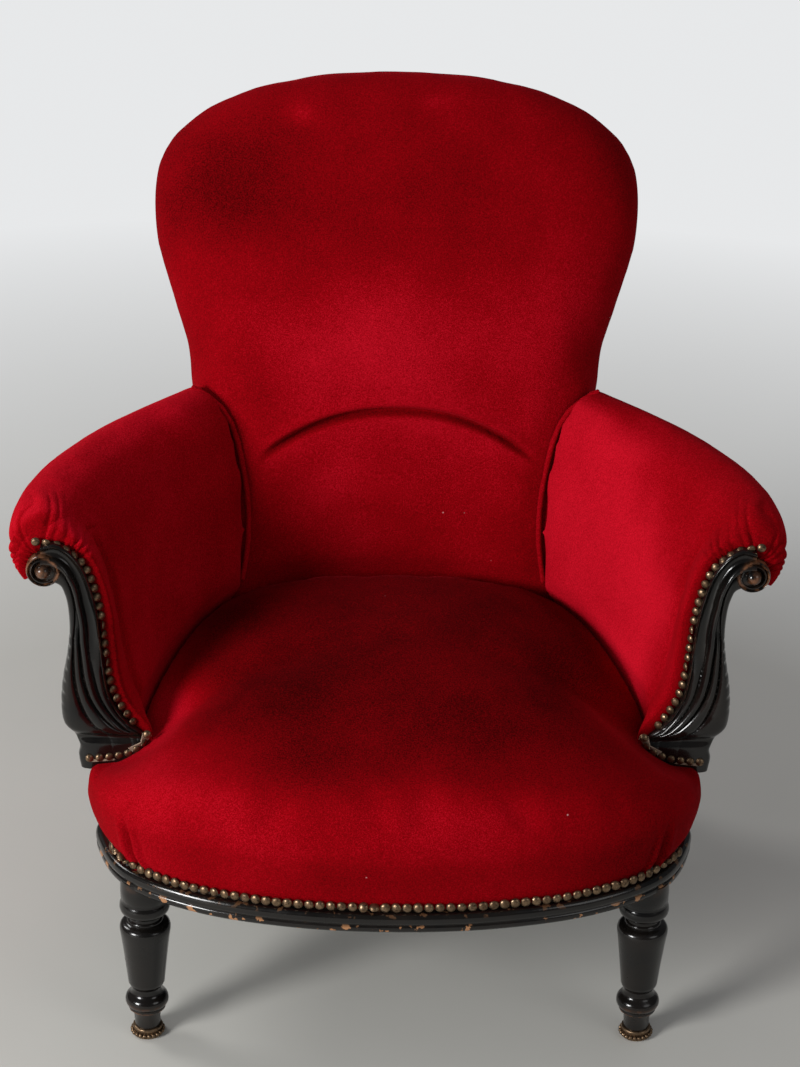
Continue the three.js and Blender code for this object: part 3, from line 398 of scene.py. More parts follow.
def build_black_wood():
    material, tree, shader, place = start_material(
        "black_polished_wood", Specular_IOR_Level=0.3, Coat_Weight=0.35, Coat_Roughness=0.1)
    stain = use_group(tree, CLOUDS, place, Scale=22, Detail=6, Low=0.35, High=0.7)
    worn = use_group(tree, RUBBED_EDGES, place, Edge=0.55, Reach=0.05, Scale=90, Amount=0.5)
    black = blend_colours(tree, stain, BLACK_STAIN, BLACK_BROWN)
    handled = place_node(tree, "ShaderNodeAttribute", attribute_name="rubbed").outputs["Fac"]
    patchy = use_group(tree, CLOUDS, place, Scale=130, Detail=4, Low=0.38, High=0.58)
    worn = calculate(tree, "MAXIMUM", worn, calculate(tree, "MULTIPLY", handled, patchy))
    rubbed = blend_colours(tree, worn, black, RUBBED_WOOD)
    chipped = place_node(tree, "ShaderNodeAttribute", attribute_name="chips").outputs["Fac"]
    flakes = use_group(tree, CLOUDS, place, Scale=95, Detail=6, Low=0.59, High=0.61)
    bare = calculate(tree, "MULTIPLY", flakes, chipped)
    tree.links.new(blend_colours(tree, bare, rubbed, BARE_WOOD), shader.inputs["Base Color"])
    smear = use_group(tree, CLOUDS, place, Scale=55, Detail=5, Low=0.3, High=0.75)
    gloss = remap(tree, smear, 0, 1, to_low=0.14, to_high=0.32)
    rougher = calculate(tree, "MULTIPLY", worn, WORN_ROUGHER)
    tree.links.new(calculate(tree, "ADD", gloss, rougher), shader.inputs["Roughness"])
    stretched = place_node(tree, "ShaderNodeMapping", Scale=(1, 1, 0.12))
    tree.links.new(place, stretched.inputs["Vector"])
    grain = use_group(tree, CLOUDS, stretched.outputs["Vector"], Scale=620, Detail=4, Low=0.3, High=0.7)
    add_bump(tree, shader, grain, strength=0.10, distance=0.3 * MM)
    return material


BRASS_BRIGHT, BRASS_DULL, BRASS_DIRT = (0.26, 0.175, 0.105), (0.13, 0.08, 0.045), (0.04, 0.027, 0.018)


def build_brass():
    material, tree, shader, place = start_material("aged_brass", Metallic=0.9)
    tarnish = use_group(tree, CLOUDS, place, Scale=140, Detail=4, Low=0.35, High=0.65)
    dirt = use_group(tree, CLOUDS, place, Scale=420, Detail=3, Low=0.55, High=0.7)
    colour = blend_colours(tree, tarnish, BRASS_DULL, BRASS_BRIGHT)
    tree.links.new(blend_colours(tree, dirt, colour, BRASS_DIRT), shader.inputs["Base Color"])
    gloss = remap(tree, tarnish, 0, 1, to_low=0.48, to_high=0.3)
    tree.links.new(gloss, shader.inputs["Roughness"])
    add_bump(tree, shader, dirt, strength=0.2, distance=0.2 * MM)
    return material


BLACK_WOOD, BRASS = build_black_wood(), build_brass()
print("materials:", BLACK_WOOD.name, BRASS.name)

# %% [markdown]
# Under the velvet are plain things: a beech frame, jute webbing and hessian, steel springs and
# a black cloth under the seat. They show from below or not at all, but each still gets its own
# finish, so that the chair can be opened up in a scene. The rails of the seat and the rear legs
# are stained black, because they peek out beside the show wood.

# %% The hidden materials
BEECH_PALE, BEECH_RING = (0.52, 0.34, 0.19), (0.34, 0.20, 0.10)
STEEL_GREY, STEEL_RUST = (0.33, 0.33, 0.34), (0.19, 0.085, 0.04)
# The colours of the thread and of the gaps, the fineness of the weave, and its roughness
CLOTH_FINISHES = {
    "woven_jute": ((0.42, 0.31, 0.18), (0.20, 0.13, 0.07), 1500, 0.9),
    "black_lining_cloth": ((0.022, 0.021, 0.022), (0.008, 0.008, 0.009), 4200, 0.85),
    "dusty_gimp": ((0.36, 0.27, 0.20), (0.13, 0.075, 0.05), 2600, 0.9),
}


def build_beech():
    material, tree, shader, place = start_material("planed_beech", Roughness=0.6)
    stretched = place_node(tree, "ShaderNodeMapping", Scale=(0.08, 1, 1))
    tree.links.new(place, stretched.inputs["Vector"])
    rings = use_group(tree, CLOUDS, stretched.outputs["Vector"], Scale=90, Detail=6, Low=0.35, High=0.65)
    tree.links.new(blend_colours(tree, rings, BEECH_PALE, BEECH_RING), shader.inputs["Base Color"])
    flecks = use_group(tree, CLOUDS, place, Scale=500, Detail=3, Low=0.4, High=0.7)
    add_bump(tree, shader, flecks, strength=0.15, distance=0.3 * MM)
    return material


def build_cloth(name, thread, gap, scale, roughness):
    material, tree, shader, place = start_material(name, Roughness=roughness, Specular_IOR_Level=0.2)
    weave = use_group(tree, WEAVE, place, Scale=scale, Slack=0.15)
    soiled = use_group(tree, CLOUDS, place, Scale=60, Detail=4, Low=0.3, High=0.7)
    shade = calculate(tree, "MULTIPLY", weave, remap(tree, soiled, 0, 1, to_low=0.6))
    tree.links.new(blend_colours(tree, shade, gap, thread), shader.inputs["Base Color"])
    add_bump(tree, shader, weave, strength=0.5, distance=0.4 * MM)
    return material


def build_steel():
    material, tree, shader, place = start_material("coiled_steel", Metallic=0.95)
    rust = use_group(tree, CLOUDS, place, Scale=120, Detail=5, Low=0.5, High=0.68)
    tree.links.new(blend_colours(tree, rust, STEEL_GREY, STEEL_RUST), shader.inputs["Base Color"])
    gloss = remap(tree, rust, 0, 1, to_low=0.35, to_high=0.75)
    tree.links.new(gloss, shader.inputs["Roughness"])
    return material


BEECH, STEEL = build_beech(), build_steel()
CLOTHS = {name: build_cloth(name, *numbers) for name, numbers in CLOTH_FINISHES.items()}
JUTE, LINING, GIMP = (CLOTHS[name] for name in CLOTH_FINISHES)
print("hidden materials:", BEECH.name, STEEL.name, *CLOTHS)

# %% Dress the solids that stay as they are
KEPT_NODES = {
    BEECH: ("front_corner_block", "rear_corner_block", "crest_rail", "lower_back_rail"),
    BLACK_WOOD: ("rear_leg_and_stile", "rear_seat_rail", "front_seat_rail", "side_seat_rail"),
    JUTE: ("back_webbing", "seat_webbing", "spring_hessian"),
    LINING: ("bottom_cloth",),
    STEEL: ("seat_spring",),
}
ROUNDED_NODE, ROUNDING, ROUNDED_FROM = "rear_leg_and_stile", 2.2 * MM, math.radians(25)


def round_edges(piece):
    weld = piece.modifiers.new("weld", "WELD")
    weld.merge_threshold = WELD
    bevel = piece.modifiers.new("round", "BEVEL")
    bevel.width = ROUNDING
    bevel.segments = 3
    bevel.limit_method = "ANGLE"
    bevel.angle_limit = ROUNDED_FROM


for finish, starts in KEPT_NODES.items():
    for name, node in nodes.items():
        if name.startswith(starts):
            node.data.materials.clear()
            node.data.materials.append(finish)
            if name.startswith(ROUNDED_NODE):
                round_edges(node)
print("dressed", sum(len(starts) for starts in KEPT_NODES.values()), "kinds of solid")

# %% [markdown]
# The seat, the back and the two arms are stuffed, and each is made in the same way. The copy
# of a solid is turned into an even net of small squares, smoothed, and blown up a little with
# cloth physics, so that it swells between the places where it is held. Modelling each fold by
# hand would give more control, but the swelling is what makes a pad look full.

# %% Helpers for stuffed pieces
CLOTH_FRAMES, CLOTH_PRESSURE = 10, 4
CONTACT_NEAR, CONTACT_FAR = 3 * MM, 26 * MM
NO_LENGTH = 1e-9


def keep_largest(shape):
    waiting, best = set(shape.verts), []
    while waiting:
        first = waiting.pop()
        found, edge = [first], [first]
        while edge:
            point = edge.pop()
            for line in point.link_edges:
                other = line.other_vert(point)
                if other in waiting:
                    waiting.discard(other)
                    found.append(other)
                    edge.append(other)
        best = max(best, found, key=len)
    kept = set(best)
    bmesh.ops.delete(shape, geom=[v for v in shape.verts if v not in kept], context="VERTS")


def edit(piece, change):
    shape = bmesh.new()
    shape.from_mesh(piece.data)
    change(shape)
    shape.to_mesh(piece.data)
    shape.free()
    return piece


def even_net(name, sources, voxel):
    piece = make_object(copy_of(*sources), name)
    remesh = piece.modifiers.new("even net", "REMESH")
    remesh.mode = "VOXEL"
    remesh.voxel_size = voxel
    return edit(settle(piece), keep_largest)


def relax(piece, steps):
    smooth = piece.modifiers.new("relax", "SMOOTH")
    smooth.iterations = steps
    return settle(piece)


def subdivide(piece):
    finer = piece.modifiers.new("finer", "SUBSURF")
    finer.levels = 1
    finer.render_levels = 1
    return settle(piece)


def refine(piece, choose):
    def change(shape):
        lines = [e for e in shape.edges if all(choose(v.co) for v in e.verts)]
        bmesh.ops.subdivide_edges(shape, edges=lines, cuts=1, use_grid_fill=True)
    return edit(piece, change)


def cut_below(piece, height):
    def change(shape):
        everything = [*shape.verts, *shape.edges, *shape.faces]
        bmesh.ops.bisect_plane(shape, geom=everything, plane_co=(0, 0, height), plane_no=(0, 0, -1),
                               clear_outer=True)
    return edit(piece, change)


def vertex_rows(piece, key):
    rows = np.empty(len(piece.data.vertices) * 3, np.float32)
    piece.data.vertices.foreach_get(key, rows)
    return rows.reshape(-1, 3).astype(float)


def places_of(piece):
    return vertex_rows(piece, "co")


def directions_of(piece):
    return vertex_rows(piece, "normal")


def put_places(piece, places):
    piece.data.vertices.foreach_set("co", places.astype(np.float32).ravel())
    piece.data.update()
    return piece


def push_out(piece, amounts):
    return put_places(piece, places_of(piece) + directions_of(piece) * amounts[:, None] * MM)


def step(low, high, value):
    share = np.clip((value - low) / (high - low), 0, 1)
    return share * share * (3 - 2 * share)


def at(pairs, key):
    keys, values = zip(*pairs)
    return np.interp(key, keys, values)


def bell(value, width):
    return np.exp(-(value / width) ** 2)


def waves(table, value):
    return sum(height * bell(value - middle, width) for height, middle, width in table)


def slopes(table, value):
    return sum(height * step(low, high, value) for height, low, high in table)


def freedom(piece, neighbours):
    trees = [BVHTree.FromBMesh(copy_of(name)) for name in neighbours]
    gaps = [min((tree.find_nearest(Vector(p), CONTACT_FAR)[3] or CONTACT_FAR) for tree in trees)
            for p in places_of(piece)]
    return step(CONTACT_NEAR, CONTACT_FAR, np.array(gaps))[:, None]


def swell(piece, free, cap):
    before = places_of(piece)
    cloth = piece.modifiers.new("swell", "CLOTH")
    cloth.settings.use_pressure = True
    cloth.settings.uniform_pressure_force = CLOTH_PRESSURE
    cloth.settings.effector_weights.gravity = 0
    cloth.collision_settings.use_collision = False
    for frame_number in range(1, CLOTH_FRAMES + 1):
        bpy.context.scene.frame_set(frame_number)
    settle(piece)
    bpy.context.scene.frame_set(1)
    move = (places_of(piece) - before) * free
    length = np.linalg.norm(move, axis=1, keepdims=True)
    put_places(piece, before + move * np.minimum(1, cap / np.maximum(length, NO_LENGTH)))
    print(piece.name, "swelled by up to", round(float(length.max() / MM), 1), "mm, capped at", cap / MM)
    return piece


def stuff(piece, neighbours, cap, calming, choose):
    swell(piece, freedom(piece, neighbours), cap)
    relax(piece, calming)
    subdivide(piece)
    return refine(piece, choose)


def paint(piece, layer, values):
    marks = piece.data.attributes.new(layer, "FLOAT", "POINT")
    values = np.broadcast_to(np.clip(values, -1, 1), len(piece.data.vertices))
    marks.data.foreach_set("value", values.astype(np.float32))


print("stuffing helpers ready")

# %% [markdown]
# The seat is a deep dome over springs. Its front swells over the rail and comes down to a row
# of nails, and its other sides press against the arms and the back. The net is made over the
# rails too, so that the hanging front has something behind it, and is then cut off along the
# top of the moulding. Where the velvet is turned round the front corners it makes a small
# pleat, which is pushed into the finished net.

# %% The seat
PAD_VOXEL = 8 * MM
SEAT_SOURCES = ("seat_cover", "seat_stuffing", "spring_hessian", "front_seat_rail", "side_seat_rail_right",
                "side_seat_rail_left")
SEAT_NEIGHBOURS = ("back_cover", "arm_pad_right", "arm_pad_left", "arm_support_right", "arm_support_left",
                   "front_rail_moulding", "arm_piping_right", "arm_piping_left")
SEAT_FOOT = 198.2 * MM
SEAT_CAP = 7 * MM
SEAT_RELAX, SEAT_CALMING = 18, 4
PLEAT_PLACE, PLEAT_ACROSS, PLEAT_LEAN = (255, -243), (0.78, 0.62), 0.08
PLEAT_TOP, PLEAT_FULL, PLEAT_FOOT, PLEAT_REAR = 272, 228, 206, -150
PLEAT_NEAR, PLEAT_NEAR_TOP = (24, 34), 280
# Each wave of the pleat: how far it stands out, where it lies across the pleat, and how wide
PLEAT_WAVES = [(-6.5, 0, 3.4), (3.0, 8, 5), (2.0, -7, 4), (-2.2, -14, 3.4)]


def pleat_move(places):
    x, y, z = (places / MM).T
    across = (np.abs(x) - PLEAT_PLACE[0]) * PLEAT_ACROSS[0] + (y - PLEAT_PLACE[1]) * PLEAT_ACROSS[1]
    fade = step(PLEAT_TOP, PLEAT_FULL, z) * (y < PLEAT_REAR)
    return fade * waves(PLEAT_WAVES, across - (z - PLEAT_FOOT) * PLEAT_LEAN)


def near_pleat(co):
    x, y, z = co / MM
    return (abs(abs(x) - PLEAT_PLACE[0]) < PLEAT_NEAR[0] and abs(y - PLEAT_PLACE[1]) < PLEAT_NEAR[1]
            and z < PLEAT_NEAR_TOP)


# The height that the velvet reaches against the foot of each arm support
TUCK_LINE = [(238, 287), (246, 285), (252, 273), (262, 268), (275, 266), (292, 264), (300, 258)]
TUCK_INNER, TUCK_OUTER, TUCK_LOW, TUCK_MOST = 236, 301, 232, 16
TUCK_AHEAD, TUCK_LIMIT, TUCK_FACING = (-182, -150), -110, (0.1, 0.5)
FRONT_WIDEN, WIDEN_SIDE, WIDEN_AHEAD = 6, (180, 280), (-110, -150)
WIDEN_FOOT, WIDEN_TOP = (204, 225), (300, 262)


def tuck_up(seat):
    places = places_of(seat)
    x, y, z = (places / MM).T
    side = np.abs(x)
    near = step(*TUCK_AHEAD, y) * (y < TUCK_LIMIT) * (side > TUCK_INNER) * (side < TUCK_OUTER)
    missing = np.clip(at(TUCK_LINE, side) - z, 0, TUCK_MOST) * near
    missing *= step(*TUCK_FACING, directions_of(seat)[:, 2])
    places[:, 2] += missing * (z > TUCK_LOW) * MM
    put_places(seat, places)
    print("velvet tucked up by", round(float(missing.max()), 1), "mm at the supports")


def widen_front(seat):
    places = places_of(seat)
    x, y, z = (places / MM).T
    share = step(*WIDEN_SIDE, np.abs(x)) * step(*WIDEN_AHEAD, y)
    share *= step(*WIDEN_FOOT, z) * step(*WIDEN_TOP, z)
    places[:, 0] += np.sign(x) * FRONT_WIDEN * share * MM
    put_places(seat, places)


def make_seat():
    seat = relax(even_net("seat_cushion", SEAT_SOURCES, PAD_VOXEL), SEAT_RELAX)
    stuff(seat, SEAT_NEIGHBOURS, SEAT_CAP, SEAT_CALMING, near_pleat)
    push_out(seat, pleat_move(places_of(seat)))
    tuck_up(seat)
    widen_front(seat)
    return cut_below(seat, SEAT_FOOT)


# The seat's pile and painted light: painted shade on top, darkest at the rear, and painted lighter or darker
# patches down its front
SEAT_TOP, SEAT_REAR, TOP_REAR_PILE_AND_SHADE, TOP_AHEAD_PILE_AND_SHADE = (300, 345), (-235, -110), -1.0, -0.80
FRONT_LOW, FRONT_RIGHT, FRONT_LEFT = [(-0.18, 270, 250)], [(-0.4, 120, 240)], [(0.30, -235, 60)]


def seat_pile_and_light(piece):
    x, y, z = (places_of(piece) / MM).T
    top, rear = step(*SEAT_TOP, z), step(*SEAT_REAR, y)
    front = slopes(FRONT_LOW, z) + slopes(FRONT_RIGHT, x) + waves(FRONT_LEFT, x)
    # Painted shade on the top of the seat, painted light and shade across its front
    return top * (TOP_REAR_PILE_AND_SHADE * rear + TOP_AHEAD_PILE_AND_SHADE * (1 - rear)) + (1 - top) * front


seat = make_seat()
paint(seat, "pile_and_painted_light", seat_pile_and_light(seat))
finish_piece(seat, VELVET, "velvet", "seat_cover", "seat_stuffing")

# %% [markdown]
# The back is one stuffed shield with a tight fold across it: below the fold it bulges to meet
# the sitter's waist. The fold is an arc, so the net is made finer along it and pulled in to a
# narrow valley, with the velvet above it hanging over a little.

# %% The back
BACK_SOURCES = ("back_cover", "back_stuffing", "back_webbing", "crest_rail", "lower_back_rail",
                "rear_leg_and_stile_right", "rear_leg_and_stile_left")
BACK_NEIGHBOURS = ("arm_pad_right", "arm_pad_left", "seat_cover", "seat_stuffing", "outside_back_cover")
BACK_VOXEL = 6.5 * MM
BACK_CAP = 7 * MM
BACK_RELAX, BACK_CALMING = 50, 16
BACK_FOOT = 261 * MM
BACK_WIDEN, BACK_WIDEN_LOW, BACK_WIDEN_FULL = 0.025, 520, 700
BACK_RAISE, BACK_RAISE_LOW, BACK_RAISE_FULL = 3.0, 700, 840
ARC_TOP, ARC_DROP, ARC_HALF_WIDTH, ARC_MIDDLE, ARC_POWER = 537, 49, 141, 3, 2.2
# Each wave along the fold: how far it stands out, how far above the arc it lies, and how wide
FOLD_WAVES = [(-11, 1, 4.6), (3.4, 11, 8), (3.0, -26, 24)]
FOLD_ENDS, FOLD_FACING = (0.80, 1.06), -0.3
FOLD_NEAR, FOLD_NEAR_END, FOLD_REAR = 16, 1.12, 190 * MM


def arc_distance(places):
    x, _, z = (places / MM).T
    side = np.abs(x - ARC_MIDDLE) / ARC_HALF_WIDTH
    return z - (ARC_TOP - ARC_DROP * side ** ARC_POWER), side


def fold_move(piece):
    distance, side = arc_distance(places_of(piece))
    fade = (1 - step(*FOLD_ENDS, side)) * (directions_of(piece)[:, 1] < FOLD_FACING)
    return fade * waves(FOLD_WAVES, distance)


def near_fold(co):
    distance, side = arc_distance(np.array([co]))
    return abs(distance[0]) < FOLD_NEAR and side[0] < FOLD_NEAR_END and co.y < FOLD_REAR


def make_back():
    back = relax(even_net("back_cushion", BACK_SOURCES, BACK_VOXEL), BACK_RELAX)
    places = places_of(back)
    wider = 1 + BACK_WIDEN * step(BACK_WIDEN_LOW, BACK_WIDEN_FULL, places[:, 2] / MM)
    places[:, 0] *= wider
    places[:, 2] += BACK_RAISE * MM * step(BACK_RAISE_LOW, BACK_RAISE_FULL, places[:, 2] / MM)
    put_places(back, places)
    stuff(back, BACK_NEIGHBOURS, BACK_CAP, BACK_CALMING, near_fold)
    return cut_below(push_out(back, fold_move(back)), BACK_FOOT)


# Patches of painted light on the pile: how bright, the middle and width across, and the middle and width in
# height
BACK_PATCHES = [(0.42, -18, 92, 612, 78), (0.22, 150, 70, 600, 70), (0.45, -102, 16, 833, 8),
                (0.30, 35, 20, 845, 7)]
# Bands and slopes of painted shade over the whole back, by height, across it and by the distance from the
# fold
BACK_BANDS, BACK_BY_HEIGHT = [(-0.40, 752, 64)], [(-0.12, 770, 810), (-0.18, 470, 360)]
BACK_ACROSS, LEFT_ACROSS, LEFT_BY_HEIGHT = [(-0.15, 170, 240)], [(-0.20, -20, -220)], (500, 560)
FOLD_LIGHT_AND_SHADE, UNDER_ENDS = [(0.12, -12, 12), (-0.8, -1, 3.4)], (0.9, 1.08)


def back_pile_and_light(piece):
    places = places_of(piece)
    x, _, z = (places / MM).T
    distance, side = arc_distance(places)
    pile_and_painted_light = waves(BACK_BANDS, z) + slopes(BACK_BY_HEIGHT, z) + slopes(BACK_ACROSS, x)
    pile_and_painted_light += slopes(LEFT_ACROSS, x) * step(*LEFT_BY_HEIGHT, z)
    # A painted dark line of shade along the fold, with a slightly brighter painted band just below it
    pile_and_painted_light += waves(FOLD_LIGHT_AND_SHADE, distance) * (1 - step(*UNDER_ENDS, side))
    for bright, middle, width, height, tallness in BACK_PATCHES:
        pile_and_painted_light += bright * bell(x - middle, width) * bell(z - height, tallness)
    return pile_and_painted_light


back = make_back()
paint(back, "pile_and_painted_light", back_pile_and_light(back))
finish_piece(back, VELVET, "velvet", "back_cover", "back_stuffing")

# %% [markdown]
# Each arm is a pad that flares out to a roll. At the roll's front the velvet has more cloth
# than it needs, so it is drawn into gathers that fan out from the nails round the scroll. Both
# arms have the same shape, so the left one is the right one mirrored, but their pile differs,
# and so do their painted light and shade, because one arm faces the light: its inside is
# painted brighter, and the other's darker.

# %% The arms
ARM_VOXEL = 6 * MM
ARM_CAP = 5 * MM
ARM_RELAX, ARM_CALMING = 7, 3
ARM_SOURCES = ("arm_pad_right", "arm_rail_right")
ARM_NEIGHBOURS = ("arm_support_right", "outside_arm_cover_right", "back_cover", "seat_cover")
SCROLL_MIDDLE = (343, 477.5)
GATHER_FRONT, GATHER_REAR, GATHER_FOOT, GATHER_ANGLE = -108, -62, 455.5, (-0.5, 0.35)
GATHER_NEAR, GATHER_FAR, GATHER_VARIES = 33, 66, 9
GATHER_DEPTH, GATHER_COUNT, GATHER_SHARPNESS = 5.2, 21, 1.4
FINER_FOOT, FINER_REACH = 452, 80
BULGE_MOST, BULGE_RADIUS, BULGE_AHEAD, BULGE_FOOT = 11, (58, 20), (-60, -100), (455, 476)
ARM_RAISE, ARM_RAISE_FROM = 8.5, (478, 530)


def from_scroll(x, z):
    return np.hypot(x - SCROLL_MIDDLE[0], z - SCROLL_MIDDLE[1])


# Sines of the angle round the scroll make the gathers wander, and vary their reach and depth
def gather_move(places):
    x, y, z = (places / MM).T
    angle = np.arctan2(z - SCROLL_MIDDLE[1], x - SCROLL_MIDDLE[0])
    wander = 0.16 * np.sin(3.1 * angle + 0.06 * y) + 0.08 * np.sin(7 * angle)
    valley = (1 - np.abs(np.sin(GATHER_COUNT / 2 * (angle + wander)))) ** GATHER_SHARPNESS
    far = GATHER_FAR + GATHER_VARIES * (np.sin(5 * angle) + 0.5 * np.sin(11 * angle))
    fade = step(GATHER_REAR, GATHER_FRONT, y) * step(far, GATHER_NEAR, from_scroll(x, z))
    uneven = (0.7 + 0.3 * np.sin(5 * angle + 1.3)) * step(*GATHER_ANGLE, angle)
    return -GATHER_DEPTH * fade * valley * uneven * (z > GATHER_FOOT)


def near_gathers(co):
    x, y, z = co / MM
    return y < GATHER_REAR and z > FINER_FOOT and from_scroll(x, z) < FINER_REACH


def make_arm():
    arm = relax(even_net("arm_pad_right_cover", ARM_SOURCES, ARM_VOXEL), ARM_RELAX)
    stuff(arm, ARM_NEIGHBOURS, ARM_CAP, ARM_CALMING, near_gathers)
    places = places_of(arm)
    x, y, z = (places / MM).T
    bulge = step(*BULGE_RADIUS, from_scroll(x, z)) * step(*BULGE_AHEAD, y) * step(*BULGE_FOOT, z)
    places[:, 1] -= BULGE_MOST * bulge * MM
    places[:, 2] += ARM_RAISE * step(*ARM_RAISE_FROM, z) * MM
    put_places(arm, places)
    return push_out(arm, gather_move(places_of(arm)))


# Where the pile and the painted light of an arm change: by the way it faces, towards the front, and near the
# nails
FACING_IN, FACING_AHEAD, AHEAD_FROM, NAILS_FROM = (-0.2, -0.7), (0.25, 0.85), (-30, -110), (-40, -112)
SLOPE_UP, SLOPE_AHEAD, SLOPE_FOOT, SLOPE_FROM = 1 / 150, 0.007, 440, (-0.1, 0.8)
# For each arm: the pile and painted light inside, at the front, outside and near the nails; an inside that
# faces the light is painted bright
ARM_PILE_AND_LIGHT = {"right": (0.8, -0.2, 0.0, -0.8), "left": (0.2, -0.85, 0.45, 0.0)}


def arm_pile_and_light(piece, inner, front, outer, near_nails):
    x, y, z = (places_of(piece) / MM).T
    facing = directions_of(piece)
    inside = step(*FACING_IN, facing[:, 0] * np.sign(x))
    ahead = step(*FACING_AHEAD, -facing[:, 1]) * step(*AHEAD_FROM, y)
    slope = SLOPE_UP * (z - SLOPE_FOOT) - SLOPE_AHEAD * y
    nails = np.maximum(step(*NAILS_FROM, y), step(*SLOPE_FROM, slope)) * inside
    return inner * inside + outer * (1 - inside) + front * ahead + near_nails * nails


arm_right = make_arm()
arm_left = mirrored_copy(arm_right, "arm_pad_left_cover")
for piece, side in ((arm_right, "right"), (arm_left, "left")):
    paint(piece, "pile_and_painted_light", arm_pile_and_light(piece, *ARM_PILE_AND_LIGHT[side]))
    finish_piece(piece, VELVET, "velvet", "arm_pad_" + side, "arm_rail_" + side)

# %% [markdown]
# A cord covered in velvet closes the seam between each arm and the back. The outsides of the
# arms and of the back are flat pieces of velvet, sewn on last to hide the frame. Each is made
# from the outer faces of its solid, so that it lies where that does, and is then given its
# cloth thickness with Solidify.

# %% Piping
PIPING_VOXEL, PIPING_OUT = 1.5 * MM, 1.6 * MM
PIPING_RELAX, PIPING_NAP = 6, 0.15

for side in ("right", "left"):
    cord = relax(even_net("piping_" + side, ("arm_piping_" + side,), PIPING_VOXEL), PIPING_RELAX)
    places = places_of(cord)
    places[:, 0] += PIPING_OUT * np.sign(places[:, 0])
    put_places(cord, places)
    paint(cord, "pile_and_painted_light", PIPING_NAP)
    finish_piece(cord, VELVET, "velvet", "arm_piping_" + side)

# %% Outside covers
CLOTH_THICKNESS = 2.4 * MM
OUTSIDE_CUTS, FLAT_ANGLE = 5, math.radians(2)
LEG_SIDE, BACK_PLANE_AT_SEAT, SEAT_LEVEL, BACK_LEAN = 207.5, 222.2, 258, 0.11
PANEL_LOW, PANEL_FOOT, PANEL_FACING, PANEL_RELAX, PANEL_NAP = 215, 196, 0.3, 5, 0.05
WRAP_FROM, WRAP_UPRIGHT, WRAP_HEIGHTS, WRAP_REAR = 150 * MM, 0.5, (320, 275), 1.5
# Two folds round the leg: how far each stops short of the rear, and how far it goes higher up
WRAP_FOLDS = [(1, 10), (0, 6)]


def outer_sheet(node, direction, least):
    shape = copy_of(node)
    bmesh.ops.delete(shape, geom=[f for f in shape.faces if f.normal.dot(Vector(direction)) < least],
                     context="FACES")
    bmesh.ops.dissolve_limit(shape, angle_limit=FLAT_ANGLE, verts=shape.verts, edges=shape.edges)
    bmesh.ops.triangulate(shape, faces=shape.faces)
    return shape


def back_plane(z):
    return BACK_PLANE_AT_SEAT + BACK_LEAN * (z - SEAT_LEVEL)


def reach_down(shape):
    for point in shape.verts:
        if point.co.z < PANEL_LOW * MM:
            point.co.z = PANEL_FOOT * MM


def wrap_round_leg(shape):
    rim = [e for e in shape.edges if e.is_boundary and all(v.co.y > WRAP_FROM for v in e.verts)
           and abs((e.verts[0].co - e.verts[1].co).normalized().z) > WRAP_UPRIGHT]
    for number, (short, onward) in enumerate(WRAP_FOLDS):
        made = bmesh.ops.extrude_edge_only(shape, edges=rim)["geom"]
        rim = [item for item in made if isinstance(item, bmesh.types.BMEdge)]
        for point in (item for item in made if isinstance(item, bmesh.types.BMVert)):
            low = float(step(*WRAP_HEIGHTS, point.co.z / MM))
            rear = back_plane(max(SEAT_LEVEL, point.co.z / MM)) + WRAP_REAR - short
            point.co.y = (low * rear + (1 - low) * (point.co.y / MM + onward)) * MM
            if number:
                point.co.x = LEG_SIDE * MM


def give_thickness(piece, thickness):
    wall = piece.modifiers.new("cloth", "SOLIDIFY")
    wall.thickness = thickness
    wall.offset = -1
    return settle(piece)


outside = outer_sheet("outside_arm_cover_right", (1, 0, 0), PANEL_FACING)
reach_down(outside)
wrap_round_leg(outside)
bmesh.ops.subdivide_edges(outside, edges=outside.edges, cuts=OUTSIDE_CUTS, use_grid_fill=True)
bmesh.ops.recalc_face_normals(outside, faces=outside.faces)
arm_outside = relax(make_object(outside, "outside_arm_right"), PANEL_RELAX)
give_thickness(arm_outside, CLOTH_THICKNESS)
paint(arm_outside, "pile_and_painted_light", PANEL_NAP)
finish_pair(arm_outside, "outside_arm", VELVET, "velvet", "outside_arm_cover")

# %% The outside of the back
BACK_WIDER, BACK_TALLER, BACK_SUNK, BACK_FACING = 1.045, 1.012, 0.6, 0.5
SHEET_RELAX, SHEET_NAP = 2, 0.1


def make_back_outside():
    shape = outer_sheet("outside_back_cover", (0, 1, 0), BACK_FACING)
    low = min(v.co.z for v in shape.verts)
    for point in shape.verts:
        point.co.x *= BACK_WIDER
        point.co.z = low + (point.co.z - low) * BACK_TALLER
        point.co.y = (back_plane(point.co.z / MM) - BACK_SUNK) * MM
    bmesh.ops.subdivide_edges(shape, edges=shape.edges, cuts=OUTSIDE_CUTS, use_grid_fill=True)
    face_towards(shape, (0, 1, 0))
    return give_thickness(relax(make_object(shape, "outside_back"), SHEET_RELAX), CLOTH_THICKNESS)


outside_back = make_back_outside()
paint(outside_back, "pile_and_painted_light", SHEET_NAP)
finish_piece(outside_back, VELVET, "velvet", "outside_back_cover")

# %% [markdown]
# The arm supports are the show pieces of the frame: an S of carved wood with a scroll at its
# head. Sculpting would be the usual way. Here a flat grid is laid over the outline instead,
# from the nailed edge to the outer edge, and pushed in and out by a relief of ridges and
# hollows that run along it. The carving is then easy to change, one line at a time.

